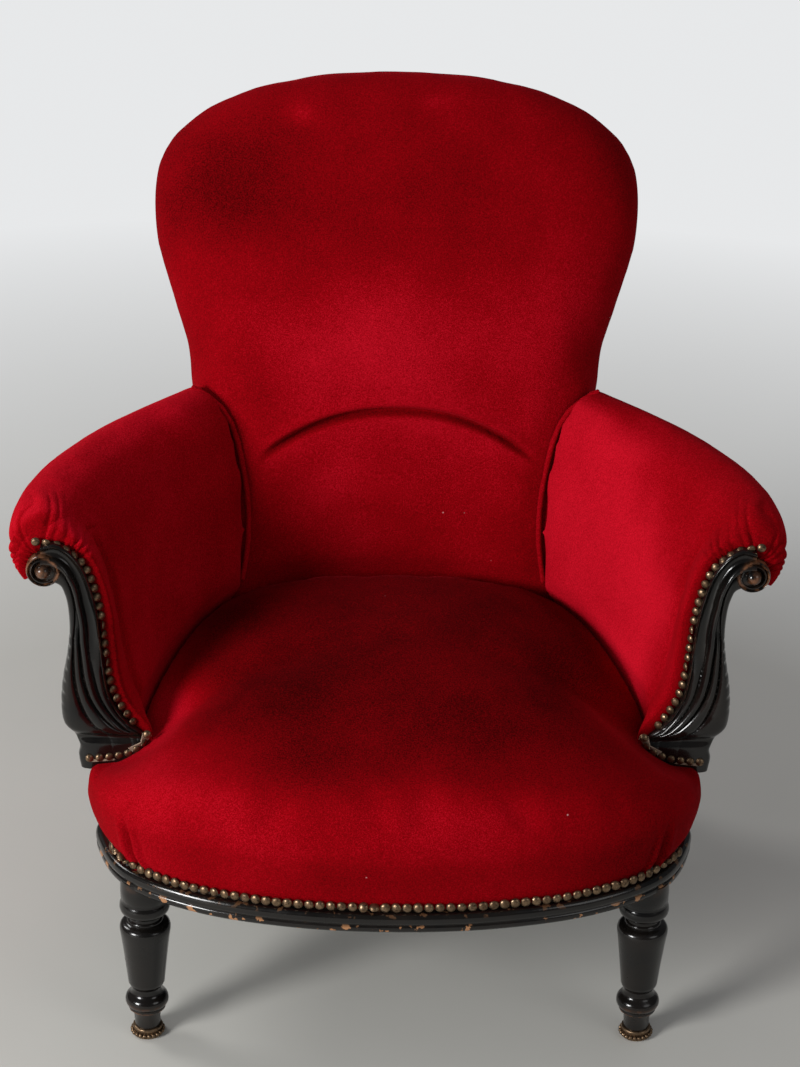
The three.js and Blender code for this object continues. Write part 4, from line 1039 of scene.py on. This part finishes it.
# %% Measures of the arm supports
SUPPORT_REACH, SUPPORT_FOOT, SUPPORT_HEIGHT = 360, 258.35, 247
SUPPORT_FRONT, SUPPORT_DEPTH = -138.8, 38.5
BORDER_WIDTH, BORDER_SHARE = 6.5, [(0, 0.2), (3, 1), (12, 1), (13.5, 0)]
NOTCH_DEPTH, NOTCH_RATE, NOTCH_FROM, NOTCH_SHARE = 1.6, 9, 0.85, [(6, 0), (7, 1), (10, 1), (11, 0)]
ROUND_DEPTH, ROUND_POWER, WAIST = 7.5, 7, [(3.0, 13.2, 0.35)]
# The places down the support: its inner edge and its outer edge, as shares of reach and height
SUPPORT_STATIONS = [
    (0.955, 0.985, 0.958, 0.835), (0.915, 0.998, 0.925, 0.826), (0.880, 0.980, 0.908, 0.812),
    (0.850, 0.945, 0.900, 0.785), (0.825, 0.885, 0.8935, 0.745), (0.806, 0.798, 0.890, 0.690),
    (0.792, 0.696, 0.8895, 0.630), (0.787, 0.600, 0.8935, 0.565), (0.782, 0.500, 0.901, 0.495),
    (0.776, 0.410, 0.911, 0.420), (0.764, 0.325, 0.918, 0.345), (0.739, 0.251, 0.920, 0.270),
    (0.708, 0.192, 0.914, 0.205), (0.690, 0.150, 0.891, 0.158), (0.688, 0.100, 0.873, 0.100),
    (0.688, 0.050, 0.877, 0.055), (0.690, 0.0, 0.872, 0.0),
]
GRID_ALONG, GRID_ACROSS = 200, 72
RELIEF_SCALE = 1.3
# Where each carved line runs: at each place down the support, its share of the way across
CARVED_LINES = {
    "bead": [(0, 0.085), (6, 0.085), (10, 0.06), (13, 0.04), (16, 0.04)],
    "cove": [(0, 0.30), (2, 0.36), (5, 0.44), (7, 0.40), (9, 0.28), (11, 0.17), (12.6, 0.10), (16, 0.1)],
    "rib": [(0, 0.52), (2, 0.58), (5, 0.68), (7, 0.66), (9, 0.52), (11, 0.34), (12.6, 0.22), (16, 0.2)],
    "leaf": [(0, 0.54), (2, 0.60), (5, 0.70), (6.6, 0.84), (8, 0.80), (10, 0.66), (12.6, 0.52), (16, 0.5)],
}
# How far each band between two lines stands out, in millimetres: a negative one is hollow
BAND_HEIGHTS = {
    "edge": [(0, 2.6), (12, 2.6), (13, 1.0), (16, 0.4)],
    "hollow": [(0, -2.5), (5, -3.2), (7, -2.0), (8.5, 1.2), (12, 3.0), (13, 1.0), (16, 0)],
    "ridge": [(0, 3.0), (3, 5.2), (9, 5.4), (12, 4.2), (13, 1.0), (16, 0)],
    "spoon": [(0, 0), (6, 0.2), (7.2, 3.6), (10, 4.8), (12, 3.6), (13, 0.8), (16, 0)],
    "outer": [(0, 1.5), (5, 2.0), (6.8, 2.4), (8, 3.6), (11, 4.2), (12.4, 2.0), (13, 0.4), (16, 0)],
}
print("support measured at", len(SUPPORT_STATIONS), "places")

# %% The relief of an arm support
def smooth_row(rows, key):
    rows = np.array(rows, float)
    last = len(rows) - 1
    i = min(int(key), last - 1)
    before, start, end, after = (rows[min(max(i + k, 0), last)] for k in (-1, 0, 1, 2))
    t = key - i
    slope_in, slope_out = (end - before) / 2, (after - start) / 2
    return ((2 * t ** 3 - 3 * t ** 2 + 1) * start + (t ** 3 - 2 * t ** 2 + t) * slope_in
            + (3 * t ** 2 - 2 * t ** 3) * end + (t ** 3 - t ** 2) * slope_out)


def relief(across, down):
    lines = [0, *(float(at(CARVED_LINES[name], down)) for name in CARVED_LINES), 1]
    heights = [float(at(BAND_HEIGHTS[name], down)) for name in BAND_HEIGHTS]
    for low, high, height in zip(lines, lines[1:], heights):
        if low <= across <= high and high > low:
            share = (across - low) / (high - low)
            return RELIEF_SCALE * height * math.sqrt(max(0, math.sin(math.pi * share)))
    return 0


def edge_fall(across):
    return ROUND_DEPTH * (1 - math.sqrt(max(0, 1 - abs(2 * across - 1) ** ROUND_POWER)))


def support_place(across, down):
    inner_x, inner_z, outer_x, outer_z = smooth_row(SUPPORT_STATIONS, down)
    start = inner_x * SUPPORT_REACH + BORDER_WIDTH * float(at(BORDER_SHARE, down))
    x = start + across * (outer_x * SUPPORT_REACH - start)
    z = SUPPORT_FOOT + SUPPORT_HEIGHT * (inner_z + across * (outer_z - inner_z))
    notch = max(0, math.sin(down * NOTCH_RATE)) * float(at(NOTCH_SHARE, down))
    x -= NOTCH_DEPTH * notch * max(0, across - NOTCH_FROM) / (1 - NOTCH_FROM)
    y = SUPPORT_FRONT + edge_fall(across) - relief(across, down) + waves(WAIST, down)
    return Vector((x, y, z)) * MM


def make_support():
    shape = bmesh.new()
    bmesh.ops.create_grid(shape, x_segments=GRID_ACROSS, y_segments=GRID_ALONG, size=1)
    last = len(SUPPORT_STATIONS) - 1
    for point in shape.verts:
        point.co = support_place((point.co.x + 1) / 2, (1 - point.co.y) / 2 * last)
    face_towards(shape, (0, -1, 0))
    grown = bmesh.ops.extrude_face_region(shape, geom=shape.faces[:])
    for item in grown["geom"]:
        if isinstance(item, bmesh.types.BMVert):
            item.co.y = (SUPPORT_FRONT + SUPPORT_DEPTH) * MM
    bmesh.ops.recalc_face_normals(shape, faces=shape.faces)
    return shape


support_shape = make_support()
print("support net:", len(support_shape.faces), "faces")

# %% The scroll at the head of a support
SCROLL_STEPS, SCROLL_TIGHTER, TIGHTER_FROM = 72, 0.10, (8, 12)
# From the ball in the middle outwards: the radius, and how far behind the front it lies
SCROLL_PROFILE = [
    (0, -9.5), (2.5, -9.2), (4.8, -8.0), (6.6, -5.8), (7.5, -3.0), (7.8, 0.5), (8.6, 2.2), (9.8, 1.6),
    (10.6, -1.2), (11.8, -2.6), (13.0, -2.2), (13.7, 0.2), (14.3, 0.6), (15.0, -1.6), (16.0, -2.4),
    (17.0, -1.2), (17.5, 1.8), (17.5, 14), (17.2, 37),
]
# Where it's rubbed: how much, at what radius and how wide, and for the rim, from where across
SCROLL_WEAR, RIM_WEAR, RIM_SIDE = [(0.8, 0, 6), (0.8, 14.3, 1.4)], [(1, 17.3, 1.5)], (337, 351)
WEAR_REAR = -130


def turned(profile, steps, closed=False):
    shape = bmesh.new()
    points = [shape.verts.new((r * MM, 0, z * MM)) for r, z in profile]
    pairs = zip(points, points[1:] + points[:1]) if closed else zip(points, points[1:])
    lines = [shape.edges.new(pair) for pair in pairs]
    bmesh.ops.spin(shape, geom=[*points, *lines], cent=(0, 0, 0), axis=(0, 0, 1), angle=2 * math.pi,
                   steps=steps, use_merge=True)
    bmesh.ops.remove_doubles(shape, verts=shape.verts, dist=WELD)
    bmesh.ops.recalc_face_normals(shape, faces=shape.faces)
    return shape


def scroll_mesh():
    shape = turned(SCROLL_PROFILE, SCROLL_STEPS)
    for point in shape.verts:
        radius, angle = math.hypot(point.co.x, point.co.y) / MM, math.atan2(point.co.y, point.co.x)
        share = (angle + math.pi) / (2 * math.pi) * step(*TIGHTER_FROM, radius)
        x, z = point.co.xy * (1 - SCROLL_TIGHTER * share)
        point.co = (SCROLL_MIDDLE[0] * MM + x, SUPPORT_FRONT * MM + point.co.z, SCROLL_MIDDLE[1] * MM + z)
    bmesh.ops.recalc_face_normals(shape, faces=shape.faces)
    mesh = bpy.data.meshes.new("scroll")
    shape.to_mesh(mesh)
    shape.free()
    return mesh


def support_wear(piece):
    x, y, z = (places_of(piece) / MM).T
    radius = from_scroll(x, z)
    rim = waves(RIM_WEAR, radius) * step(*RIM_SIDE, x)
    return (waves(SCROLL_WEAR, radius) + rim) * (y < WEAR_REAR)


support_shape.from_mesh(scroll_mesh())
support = make_object(support_shape, "carved_arm_support_right")
paint(support, "rubbed", support_wear(support))
finish_pair(support, "carved_arm_support", BLACK_WOOD, "ebonised_wood", "arm_support")

# %% [markdown]
# A nail row is one strip of trimming with dozens of heads, and the solid has each head as a
# little five-sided spike. So the solid also says where the nails are: each spike's tip is a
# point where five short edges meet. A domed head of a few dozen faces is put at each of them.

# %% Find the nails and make their heads
NAIL_RADIUS, NAIL_DOME, NAIL_ROUND, NAIL_RINGS = 4.9, 2.9, 14, 10
NAIL_LEAN, NAIL_VARIES, SMALLER_HEADS = 0.06, 0.04, 0.9
# Sines of a nail's number stand in for chance: how fast, and from where
LEAN_SINES, SIZE_SINE = [(12.9, 0), (7.3, 1), (4.1, 2)], 5.7
SPIKE_HEIGHT, SPIKE_EDGE, SPIKE_SIDES = 3 * MM, 6.2 * MM, 5


def nail_places(name):
    shape = copy_of(name)
    found = []
    for point in shape.verts:
        edges = point.link_edges
        if len(edges) == SPIKE_SIDES and all(e.calc_length() < SPIKE_EDGE for e in edges):
            out = sum((f.normal * f.calc_area() for f in point.link_faces), Vector()).normalized()
            found.append((point.co - out * SPIKE_HEIGHT, out))
    shape.free()
    return found


def dome_mesh():
    shape = bmesh.new()
    bmesh.ops.create_uvsphere(shape, u_segments=NAIL_ROUND, v_segments=NAIL_RINGS, radius=1)
    bmesh.ops.bisect_plane(shape, geom=[*shape.verts, *shape.edges, *shape.faces], plane_co=(0, 0, 0),
                           plane_no=(0, 0, -1), clear_outer=True)
    bmesh.ops.scale(shape, vec=(NAIL_RADIUS * MM, NAIL_RADIUS * MM, NAIL_DOME * MM), verts=shape.verts)
    mesh = bpy.data.meshes.new("nail head")
    shape.to_mesh(mesh)
    shape.free()
    return mesh


NAIL_HEAD = dome_mesh()


def nail_row(name, places):
    shape = bmesh.new()
    for number, (place, out) in enumerate(places):
        before = len(shape.verts)
        shape.from_mesh(NAIL_HEAD)
        shape.verts.ensure_lookup_table()
        lean = Vector([math.sin(number * rate + start) for rate, start in LEAN_SINES])
        turn = (out + lean * NAIL_LEAN).normalized().to_track_quat("Z", "X").to_matrix().to_4x4()
        size = (1 if name.startswith("front") else SMALLER_HEADS)
        size *= 1 + NAIL_VARIES * math.sin(number * SIZE_SINE)
        bmesh.ops.transform(shape, matrix=Matrix.Translation(place) @ turn @ Matrix.Scale(size, 4),
                            verts=shape.verts[before:])
    return make_object(shape, name)


print("nail head:", len(NAIL_HEAD.polygons), "faces")

# %% Space the nails evenly along their row
NAIL_PITCH = 10.4
TOO_NEAR, ROW_SMOOTHING = 6 * MM, 3


def in_order(places, start):
    waiting = list(places)
    first = min(waiting, key=lambda item: (item[0] - start).length)
    waiting.remove(first)
    ordered = [first]
    while waiting:
        following = min(waiting, key=lambda item: (item[0] - ordered[-1][0]).length)
        waiting.remove(following)
        if (following[0] - ordered[-1][0]).length > TOO_NEAR:
            ordered.append(following)
    return ordered


def spaced(places, start):
    ordered = in_order(places, start)
    points = np.array([item[0] for item in ordered])
    for _ in range(ROW_SMOOTHING):
        points[1:-1] = (points[:-2] + 2 * points[1:-1] + points[2:]) / 4
    outs = np.array([item[1] for item in ordered])
    travel = np.concatenate([[0], np.cumsum(np.linalg.norm(np.diff(points, axis=0), axis=1))])
    count = round(travel[-1] / (NAIL_PITCH * MM))
    stops = np.linspace(0, travel[-1], count + 1)
    even = [np.interp(stops, travel, points[:, k]) for k in range(3)]
    facing = [np.interp(stops, travel, outs[:, k]) for k in range(3)]
    return [(Vector(place), Vector(out).normalized()) for place, out in zip(zip(*even), zip(*facing))]


INWARD_LEAN = [(275, 0.05), (310, 0.75), (420, 0.95), (465, 0.45), (495, 0.1)]
ROW_STARTS = {
    "front_nail_row": (-0.30, -0.19, 0.21), "arm_nail_row_right": (0.37, -0.13, 0.50),
    "arm_nail_row_left": (-0.37, -0.13, 0.50), "foot_nail_row_right": (0.24, -0.14, 0.30),
    "foot_nail_row_left": (-0.24, -0.14, 0.30),
}
# One more nail goes on over the top of each scroll
OVER_SCROLL = (349.5, -131, 508)
GIMP_RAISE, SCROLL_TOP, TOP_DROP, FRONT_DROP = 1.3, 498, 0.26, 5.5
TOP_FORWARD, FORWARD_FROM = 1.6, (470, 500)


def over_scroll(side):
    x, y, z = OVER_SCROLL
    return Vector((side * x, y, z)) * MM, Vector((0, -1, 0))


nails = {}
for row, start in ROW_STARTS.items():
    side = math.copysign(1, start[0]) if row.startswith("arm") else 0
    found = nail_places(row) + ([over_scroll(side)] if side else [])
    raised = GIMP_RAISE * MM if row.startswith("foot") else 0
    drop = FRONT_DROP if row.startswith("front") else 0
    nails[row] = []
    for place, out in spaced(found, Vector(start)):
        down = drop + TOP_DROP * max(0, place.z / MM - SCROLL_TOP)
        inward = -side * float(at(INWARD_LEAN, place.z / MM))
        forward = TOP_FORWARD * float(step(*FORWARD_FROM, place.z / MM)) * MM
        nails[row].append((place + out * raised - Vector((0, forward, down * MM)),
                           (out + Vector((inward, 0, 0))).normalized()))
    finish_piece(nail_row(row.replace("row", "heads"), nails[row]), BRASS, "brass", row)
    print(row, "has", len(nails[row]), "nails")

# %% [markdown]
# Beside the carving the velvet is turned over the edge of the frame and nailed down. That edge
# is a narrow rounded strip under the row of nails. Round the foot of the support the nails go
# through a strip of woven gimp instead, which has faded to a dusty brown.

# %% The turned edge of velvet and the strips of gimp
EDGE_ACROSS, EDGE_ALONG = 22, 260
EDGE_FRONT, EDGE_UNDER, EDGE_FLAT, EDGE_TURN = -130.2, 8, 3.5, 10
EDGE_REACH, EDGE_BEHIND, EDGE_LIE, EDGE_STEP, EDGE_RELAX = 16, 36, -2.2, 0.1, 2
GIMP_HALF_WIDTH, GIMP_THICKNESS, GIMP_ROWS, GIMP_CUTS = 4.8, 1.2, (-1, -0.5, 0, 0.5, 1), 3
# The line where wood meets velvet, from beside the scroll over its top and down to the foot
AROUND_SCROLL = [(-40, 17.8), (-10, 18.2), (25, 19.5), (60, 22.0)]
EDGE_LINE = []
for degrees, radius in AROUND_SCROLL:
    EDGE_LINE.append((SCROLL_MIDDLE[0] + radius * math.cos(math.radians(degrees)),
                      SCROLL_MIDDLE[1] + radius * math.sin(math.radians(degrees))))
EDGE_LINE += [(x * SUPPORT_REACH, SUPPORT_FOOT + z * SUPPORT_HEIGHT) for x, z, *_ in SUPPORT_STATIONS[:-2]]
pad_tree = BVHTree.FromPolygons([v.co for v in arm_right.data.vertices],
                                [p.vertices[:] for p in arm_right.data.polygons])


def edge_frame(down):
    last = len(EDGE_LINE) - 1
    here = smooth_row(EDGE_LINE, down)
    ahead = smooth_row(EDGE_LINE, min(down + EDGE_STEP, last))
    way = Vector(ahead - smooth_row(EDGE_LINE, max(down - EDGE_STEP, 0))).normalized()
    return Vector((here[0], 0, here[1])), Vector((way.y, 0, -way.x))


def edge_column(down):
    here, out = edge_frame(down)
    front = here + Vector((0, EDGE_FRONT, 0))
    under, flat = front - out * EDGE_UNDER, front + out * EDGE_FLAT
    aim = here + out * EDGE_REACH + Vector((0, EDGE_FRONT + EDGE_BEHIND, 0))
    rest, normal = pad_tree.find_nearest(aim * MM)[:2]
    rest = rest / MM + normal * EDGE_LIE
    lead = rest - Vector((0, EDGE_TURN, 0))
    points = [under, flat]
    for k in range(1, EDGE_ACROSS - 1):
        t = k / (EDGE_ACROSS - 2)
        points.append((1 - t) ** 3 * flat + 3 * (1 - t) ** 2 * t * (flat + out * EDGE_TURN)
                      + 3 * (1 - t) * t ** 2 * lead + t ** 3 * rest)
    return points


def make_edge():
    shape = bmesh.new()
    bmesh.ops.create_grid(shape, x_segments=EDGE_ACROSS - 1, y_segments=EDGE_ALONG - 1, size=1)
    columns = [edge_column(k / (EDGE_ALONG - 1) * (len(EDGE_LINE) - 1)) for k in range(EDGE_ALONG)]
    for point in shape.verts:
        across, down = (point.co.x + 1) / 2 * (EDGE_ACROSS - 1), (1 - point.co.y) / 2 * (EDGE_ALONG - 1)
        point.co = columns[round(down)][round(across)] * MM
    face_towards(shape, (0, -1, 0))
    return shape


def gimp_strip(places):
    shape = bmesh.new()
    rows = []
    for number, (place, out) in enumerate(places):
        before, after = places[max(number - 1, 0)][0], places[min(number + 1, len(places) - 1)][0]
        across = (after - before).normalized().cross(out).normalized() * GIMP_HALF_WIDTH * MM
        rows.append([shape.verts.new(place + across * side) for side in GIMP_ROWS])
    for near, far in zip(rows, rows[1:]):
        for k in range(len(GIMP_ROWS) - 1):
            shape.faces.new((near[k], near[k + 1], far[k + 1], far[k]))
    bmesh.ops.subdivide_edges(shape, edges=shape.edges, cuts=GIMP_CUTS, use_grid_fill=True)
    return shape


edge_right = relax(make_object(make_edge(), "turned_velvet_edge_right"), EDGE_RELAX)
push_out(edge_right, gather_move(places_of(edge_right)))
give_thickness(edge_right, CLOTH_THICKNESS)
edge_left = mirrored_copy(edge_right, "turned_velvet_edge_left")
for piece, side in ((edge_right, "right"), (edge_left, "left")):
    paint(piece, "pile_and_painted_light", arm_pile_and_light(piece, *ARM_PILE_AND_LIGHT[side]))
    finish_piece(piece, VELVET, "velvet")
    strip = make_object(gimp_strip(nails["foot_nail_row_" + side]), "foot_gimp_" + side)
    give_thickness(strip, GIMP_THICKNESS * MM)
    finish_piece(strip, GIMP, "brass")

# %% [markdown]
# The front legs are turned on a lathe. Blender's spin, which made the scroll too, does just
# what a lathe does: a profile is drawn once, from the floor up, and swept round its axis. The
# narrow steps and rings between the swelling parts are what make it read as turned wood, so
# the profile keeps them all.

# %% The front legs and their brass rings
LEG_PLACE = Vector((247, -218.84, 0)) * MM
LEG_STEPS = 64
LEG_PROFILE = [
    (0, 4.2), (12.9, 4.2), (13.2, 29.5), (13.9, 30.4), (17.4, 30.8), (18.5, 31.8), (18.7, 33.4),
    (18.2, 34.8), (18.9, 35.8), (20.6, 37.4), (21.5, 39.6), (21.6, 42.4), (21.0, 45.0), (19.4, 47.2),
    (17.2, 48.8), (15.6, 50.8), (15.0, 53.6), (14.9, 56.4), (15.6, 58.6), (17.2, 60.4), (18.2, 62.6),
    (18.5, 65.0), (20.0, 80), (21.4, 93), (22.8, 106), (24.2, 117), (25.2, 124), (25.3, 127.4),
    (24.6, 130.2), (22.8, 132.2), (20.4, 133.2), (18.4, 133.6), (17.6, 134.6), (18.0, 136.0),
    (17.4, 137.2), (15.9, 138.2), (15.6, 140.4), (16.2, 142.6), (18.6, 143.8), (22.0, 145.4),
    (24.2, 148), (25.0, 151.4), (24.6, 154.8), (23.4, 157.6), (22.4, 159.4), (22.8, 161),
    (23.6, 162.4), (23.8, 172), (23.4, 184.8), (0, 184.8),
]
RING_PROFILE = [
    (11.5, 10.8), (11.5, 1.0), (12.6, 0.0), (14.6, 0.0), (15.2, 0.8), (14.8, 2.0), (14.4, 3.0),
    (14.4, 7.2), (14.9, 8.4), (14.8, 9.9), (14.0, 10.8),
]
RING_BEADS, BEAD_PLACE, BEAD_RADIUS, BEAD_HEIGHT = 22, 15.3, 2.3, 4.0
# Where the legs are rubbed: how much, at what height, and how wide
LEG_WEAR = [(0.9, 31.4, 1.0), (0.25, 40, 1.5)]


def place_leg_piece(shape, name, finish, slot, node_start):
    bmesh.ops.translate(shape, vec=LEG_PLACE, verts=shape.verts)
    piece = make_object(shape, name + "_right")
    paint(piece, "rubbed", waves(LEG_WEAR, places_of(piece)[:, 2] / MM))
    finish_pair(piece, name, finish, slot, node_start)


place_leg_piece(turned(LEG_PROFILE, LEG_STEPS), "turned_front_leg", BLACK_WOOD, "ebonised_wood", "front_leg")
ring_shape = turned(RING_PROFILE, LEG_STEPS, closed=True)
for number in range(RING_BEADS):
    angle = 2 * math.pi * number / RING_BEADS
    place = Vector((math.cos(angle) * BEAD_PLACE, math.sin(angle) * BEAD_PLACE, BEAD_HEIGHT)) * MM
    bmesh.ops.create_icosphere(ring_shape, subdivisions=2, radius=BEAD_RADIUS * MM,
                               matrix=Matrix.Translation(place))
place_leg_piece(ring_shape, "beaded_brass_ring", BRASS, "brass", "brass_foot_ring")

# %% [markdown]
# A moulding of black wood runs round the foot of the seat, under the nails. It has a rounded
# front and is planted on the rails, so it follows their plan. Its lower edge is where shoes
# and brooms have chipped the stain off, down to pale wood, and a row of values on the mesh
# tells the material where that may happen.

# %% The moulding round the seat
RAIL_HALF_WIDTH, RAIL_FRONT, RAIL_DEPTH, RAIL_FOOT = 289, -302.84, 520.04, 179
RAIL_PLAN = [
    (-0.332, 0.0135), (0, 0), (0.332, 0.0135), (0.65, 0.06), (0.896, 0.146), (1, 0.267), (0.997, 0.346),
    (0.952, 0.538), (0.865, 0.769), (0.768, 1),
]
# From the foot of the moulding to its top: how far it stands out, and how high
MOULDING_SECTION = [
    (-1, 0), (4.2, 0), (6.2, 0.8), (7.3, 2.6), (7.5, 5.2), (7.0, 7.2), (6.1, 8.0), (6.1, 8.6),
    (7.4, 9.6), (8, 12), (7.9, 15), (7.0, 17.8), (5.0, 19.6), (2.4, 20), (-1, 20),
]
MOULDING_ALONG, PLAN_STEP = 150, 0.08
# Where the stain may chip off: near the moulding's foot, and in a narrow band along its top
CHIPS_FOOT, CHIPS_TOP = [(1, 9.5, 5.5)], [(0.25, 19, 2)]


def plan_frame(along):
    here = smooth_row(RAIL_PLAN, along)
    ahead = smooth_row(RAIL_PLAN, min(along + PLAN_STEP, len(RAIL_PLAN) - 1))
    behind = smooth_row(RAIL_PLAN, max(along - PLAN_STEP, 0))
    way = Vector(((ahead[0] - behind[0]) * RAIL_HALF_WIDTH, (ahead[1] - behind[1]) * RAIL_DEPTH)).normalized()
    return here[0] * RAIL_HALF_WIDTH, RAIL_FRONT + here[1] * RAIL_DEPTH, Vector((way.y, -way.x, 0))


def make_moulding():
    shape = bmesh.new()
    bmesh.ops.create_grid(shape, x_segments=len(MOULDING_SECTION) - 1, y_segments=MOULDING_ALONG, size=1)
    for point in shape.verts:
        proud, height = MOULDING_SECTION[round((point.co.x + 1) / 2 * (len(MOULDING_SECTION) - 1))]
        along = 1 + (point.co.y + 1) / 2 * (len(RAIL_PLAN) - 2)
        x, y, out = plan_frame(along)
        point.co = (Vector((x, y, RAIL_FOOT + height)) + out * proud) * MM
    face_towards(shape, (1, 0, 0))
    half = bmesh.ops.duplicate(shape, geom=shape.faces[:])["geom"]
    copies = [item for item in half if isinstance(item, bmesh.types.BMVert)]
    bmesh.ops.scale(shape, vec=(-1, 1, 1), verts=copies)
    bmesh.ops.reverse_faces(shape, faces=[item for item in half if isinstance(item, bmesh.types.BMFace)])
    bmesh.ops.remove_doubles(shape, verts=shape.verts, dist=WELD)
    return shape


moulding = make_object(make_moulding(), "rail_moulding")
heights = places_of(moulding)[:, 2] / MM - RAIL_FOOT
paint(moulding, "chips", slopes(CHIPS_FOOT, heights) + waves(CHIPS_TOP, heights))
finish_piece(moulding, BLACK_WOOD, "ebonised_wood", "front_rail_moulding", "side_rail_moulding_right",
             "side_rail_moulding_left")

# %% [markdown]
# The chair stands on a plain pale floor. A short distance away the floor turns into an even
# pale background for the camera alone, so it gives no light of its own, and no horizon shows
# from any side. A wall would do the same from one side only. From below the floor is clear,
# so that the underside can be looked at.

# %% The floor and the end
FLOOR_SIZE = 60
FLOOR_COLOUR, FLOOR_SHADE = (0.55, 0.54, 0.50), 0.94
BACKGROUND = (0.80, 0.81, 0.82)
FADE_NEAR, FADE_FAR = 0.75, 2.4
SKY_IN_GLOSS = 0.25


def blend_shaders(tree, mask, first, second):
    node = place_node(tree, "ShaderNodeMixShader")
    for source, socket in zip((mask, first, second), node.inputs):
        tree.links.new(source, socket)
    return node.outputs[0]


def pale_for_camera(tree, shown, target, mask):
    rays = place_node(tree, "ShaderNodeLightPath").outputs["Is Camera Ray"]
    glow = place_node(tree, "ShaderNodeEmission", Color=(*BACKGROUND, 1)).outputs[0]
    share = calculate(tree, "MULTIPLY", rays, mask)
    tree.links.new(blend_shaders(tree, share, shown, glow), target.inputs["Surface"])


def make_floor():
    shape = bmesh.new()
    bmesh.ops.create_grid(shape, x_segments=1, y_segments=1, size=FLOOR_SIZE)
    floor = make_object(shape, "floor")
    material, tree, shader, place = start_material("pale_floor", Roughness=0.7, Specular_IOR_Level=0.2)
    tone = use_group(tree, CLOUDS, place, Scale=3, Detail=5, Low=0.2, High=0.8)
    pale = blend_colours(tree, tone, tuple(FLOOR_SHADE * c for c in FLOOR_COLOUR), FLOOR_COLOUR)
    tree.links.new(pale, shader.inputs["Base Color"])
    distance = place_node(tree, "ShaderNodeVectorMath", operation="LENGTH")
    tree.links.new(place, distance.inputs[0])
    far = remap(tree, distance.outputs["Value"], FADE_NEAR, FADE_FAR)
    below = place_node(tree, "ShaderNodeNewGeometry").outputs["Backfacing"]
    clear = place_node(tree, "ShaderNodeBsdfTransparent").outputs[0]
    seen = blend_shaders(tree, below, shader.outputs[0], clear)
    mask = calculate(tree, "MULTIPLY", far, calculate(tree, "SUBTRACT", 1, below))
    pale_for_camera(tree, seen, tree.nodes["Material Output"], mask)
    floor.data.materials.append(material)


sky = world.node_tree
gloss_rays = place_node(sky, "ShaderNodeLightPath").outputs["Is Glossy Ray"]
level = remap(sky, gloss_rays, 0, 1, to_low=SKY_STRENGTH, to_high=SKY_STRENGTH * SKY_IN_GLOSS)
sky.links.new(level, sky.nodes["Background"].inputs["Strength"])
pale_for_camera(sky, sky.nodes["Background"].outputs[0], sky.nodes["World Output"], mask=1)
make_floor()
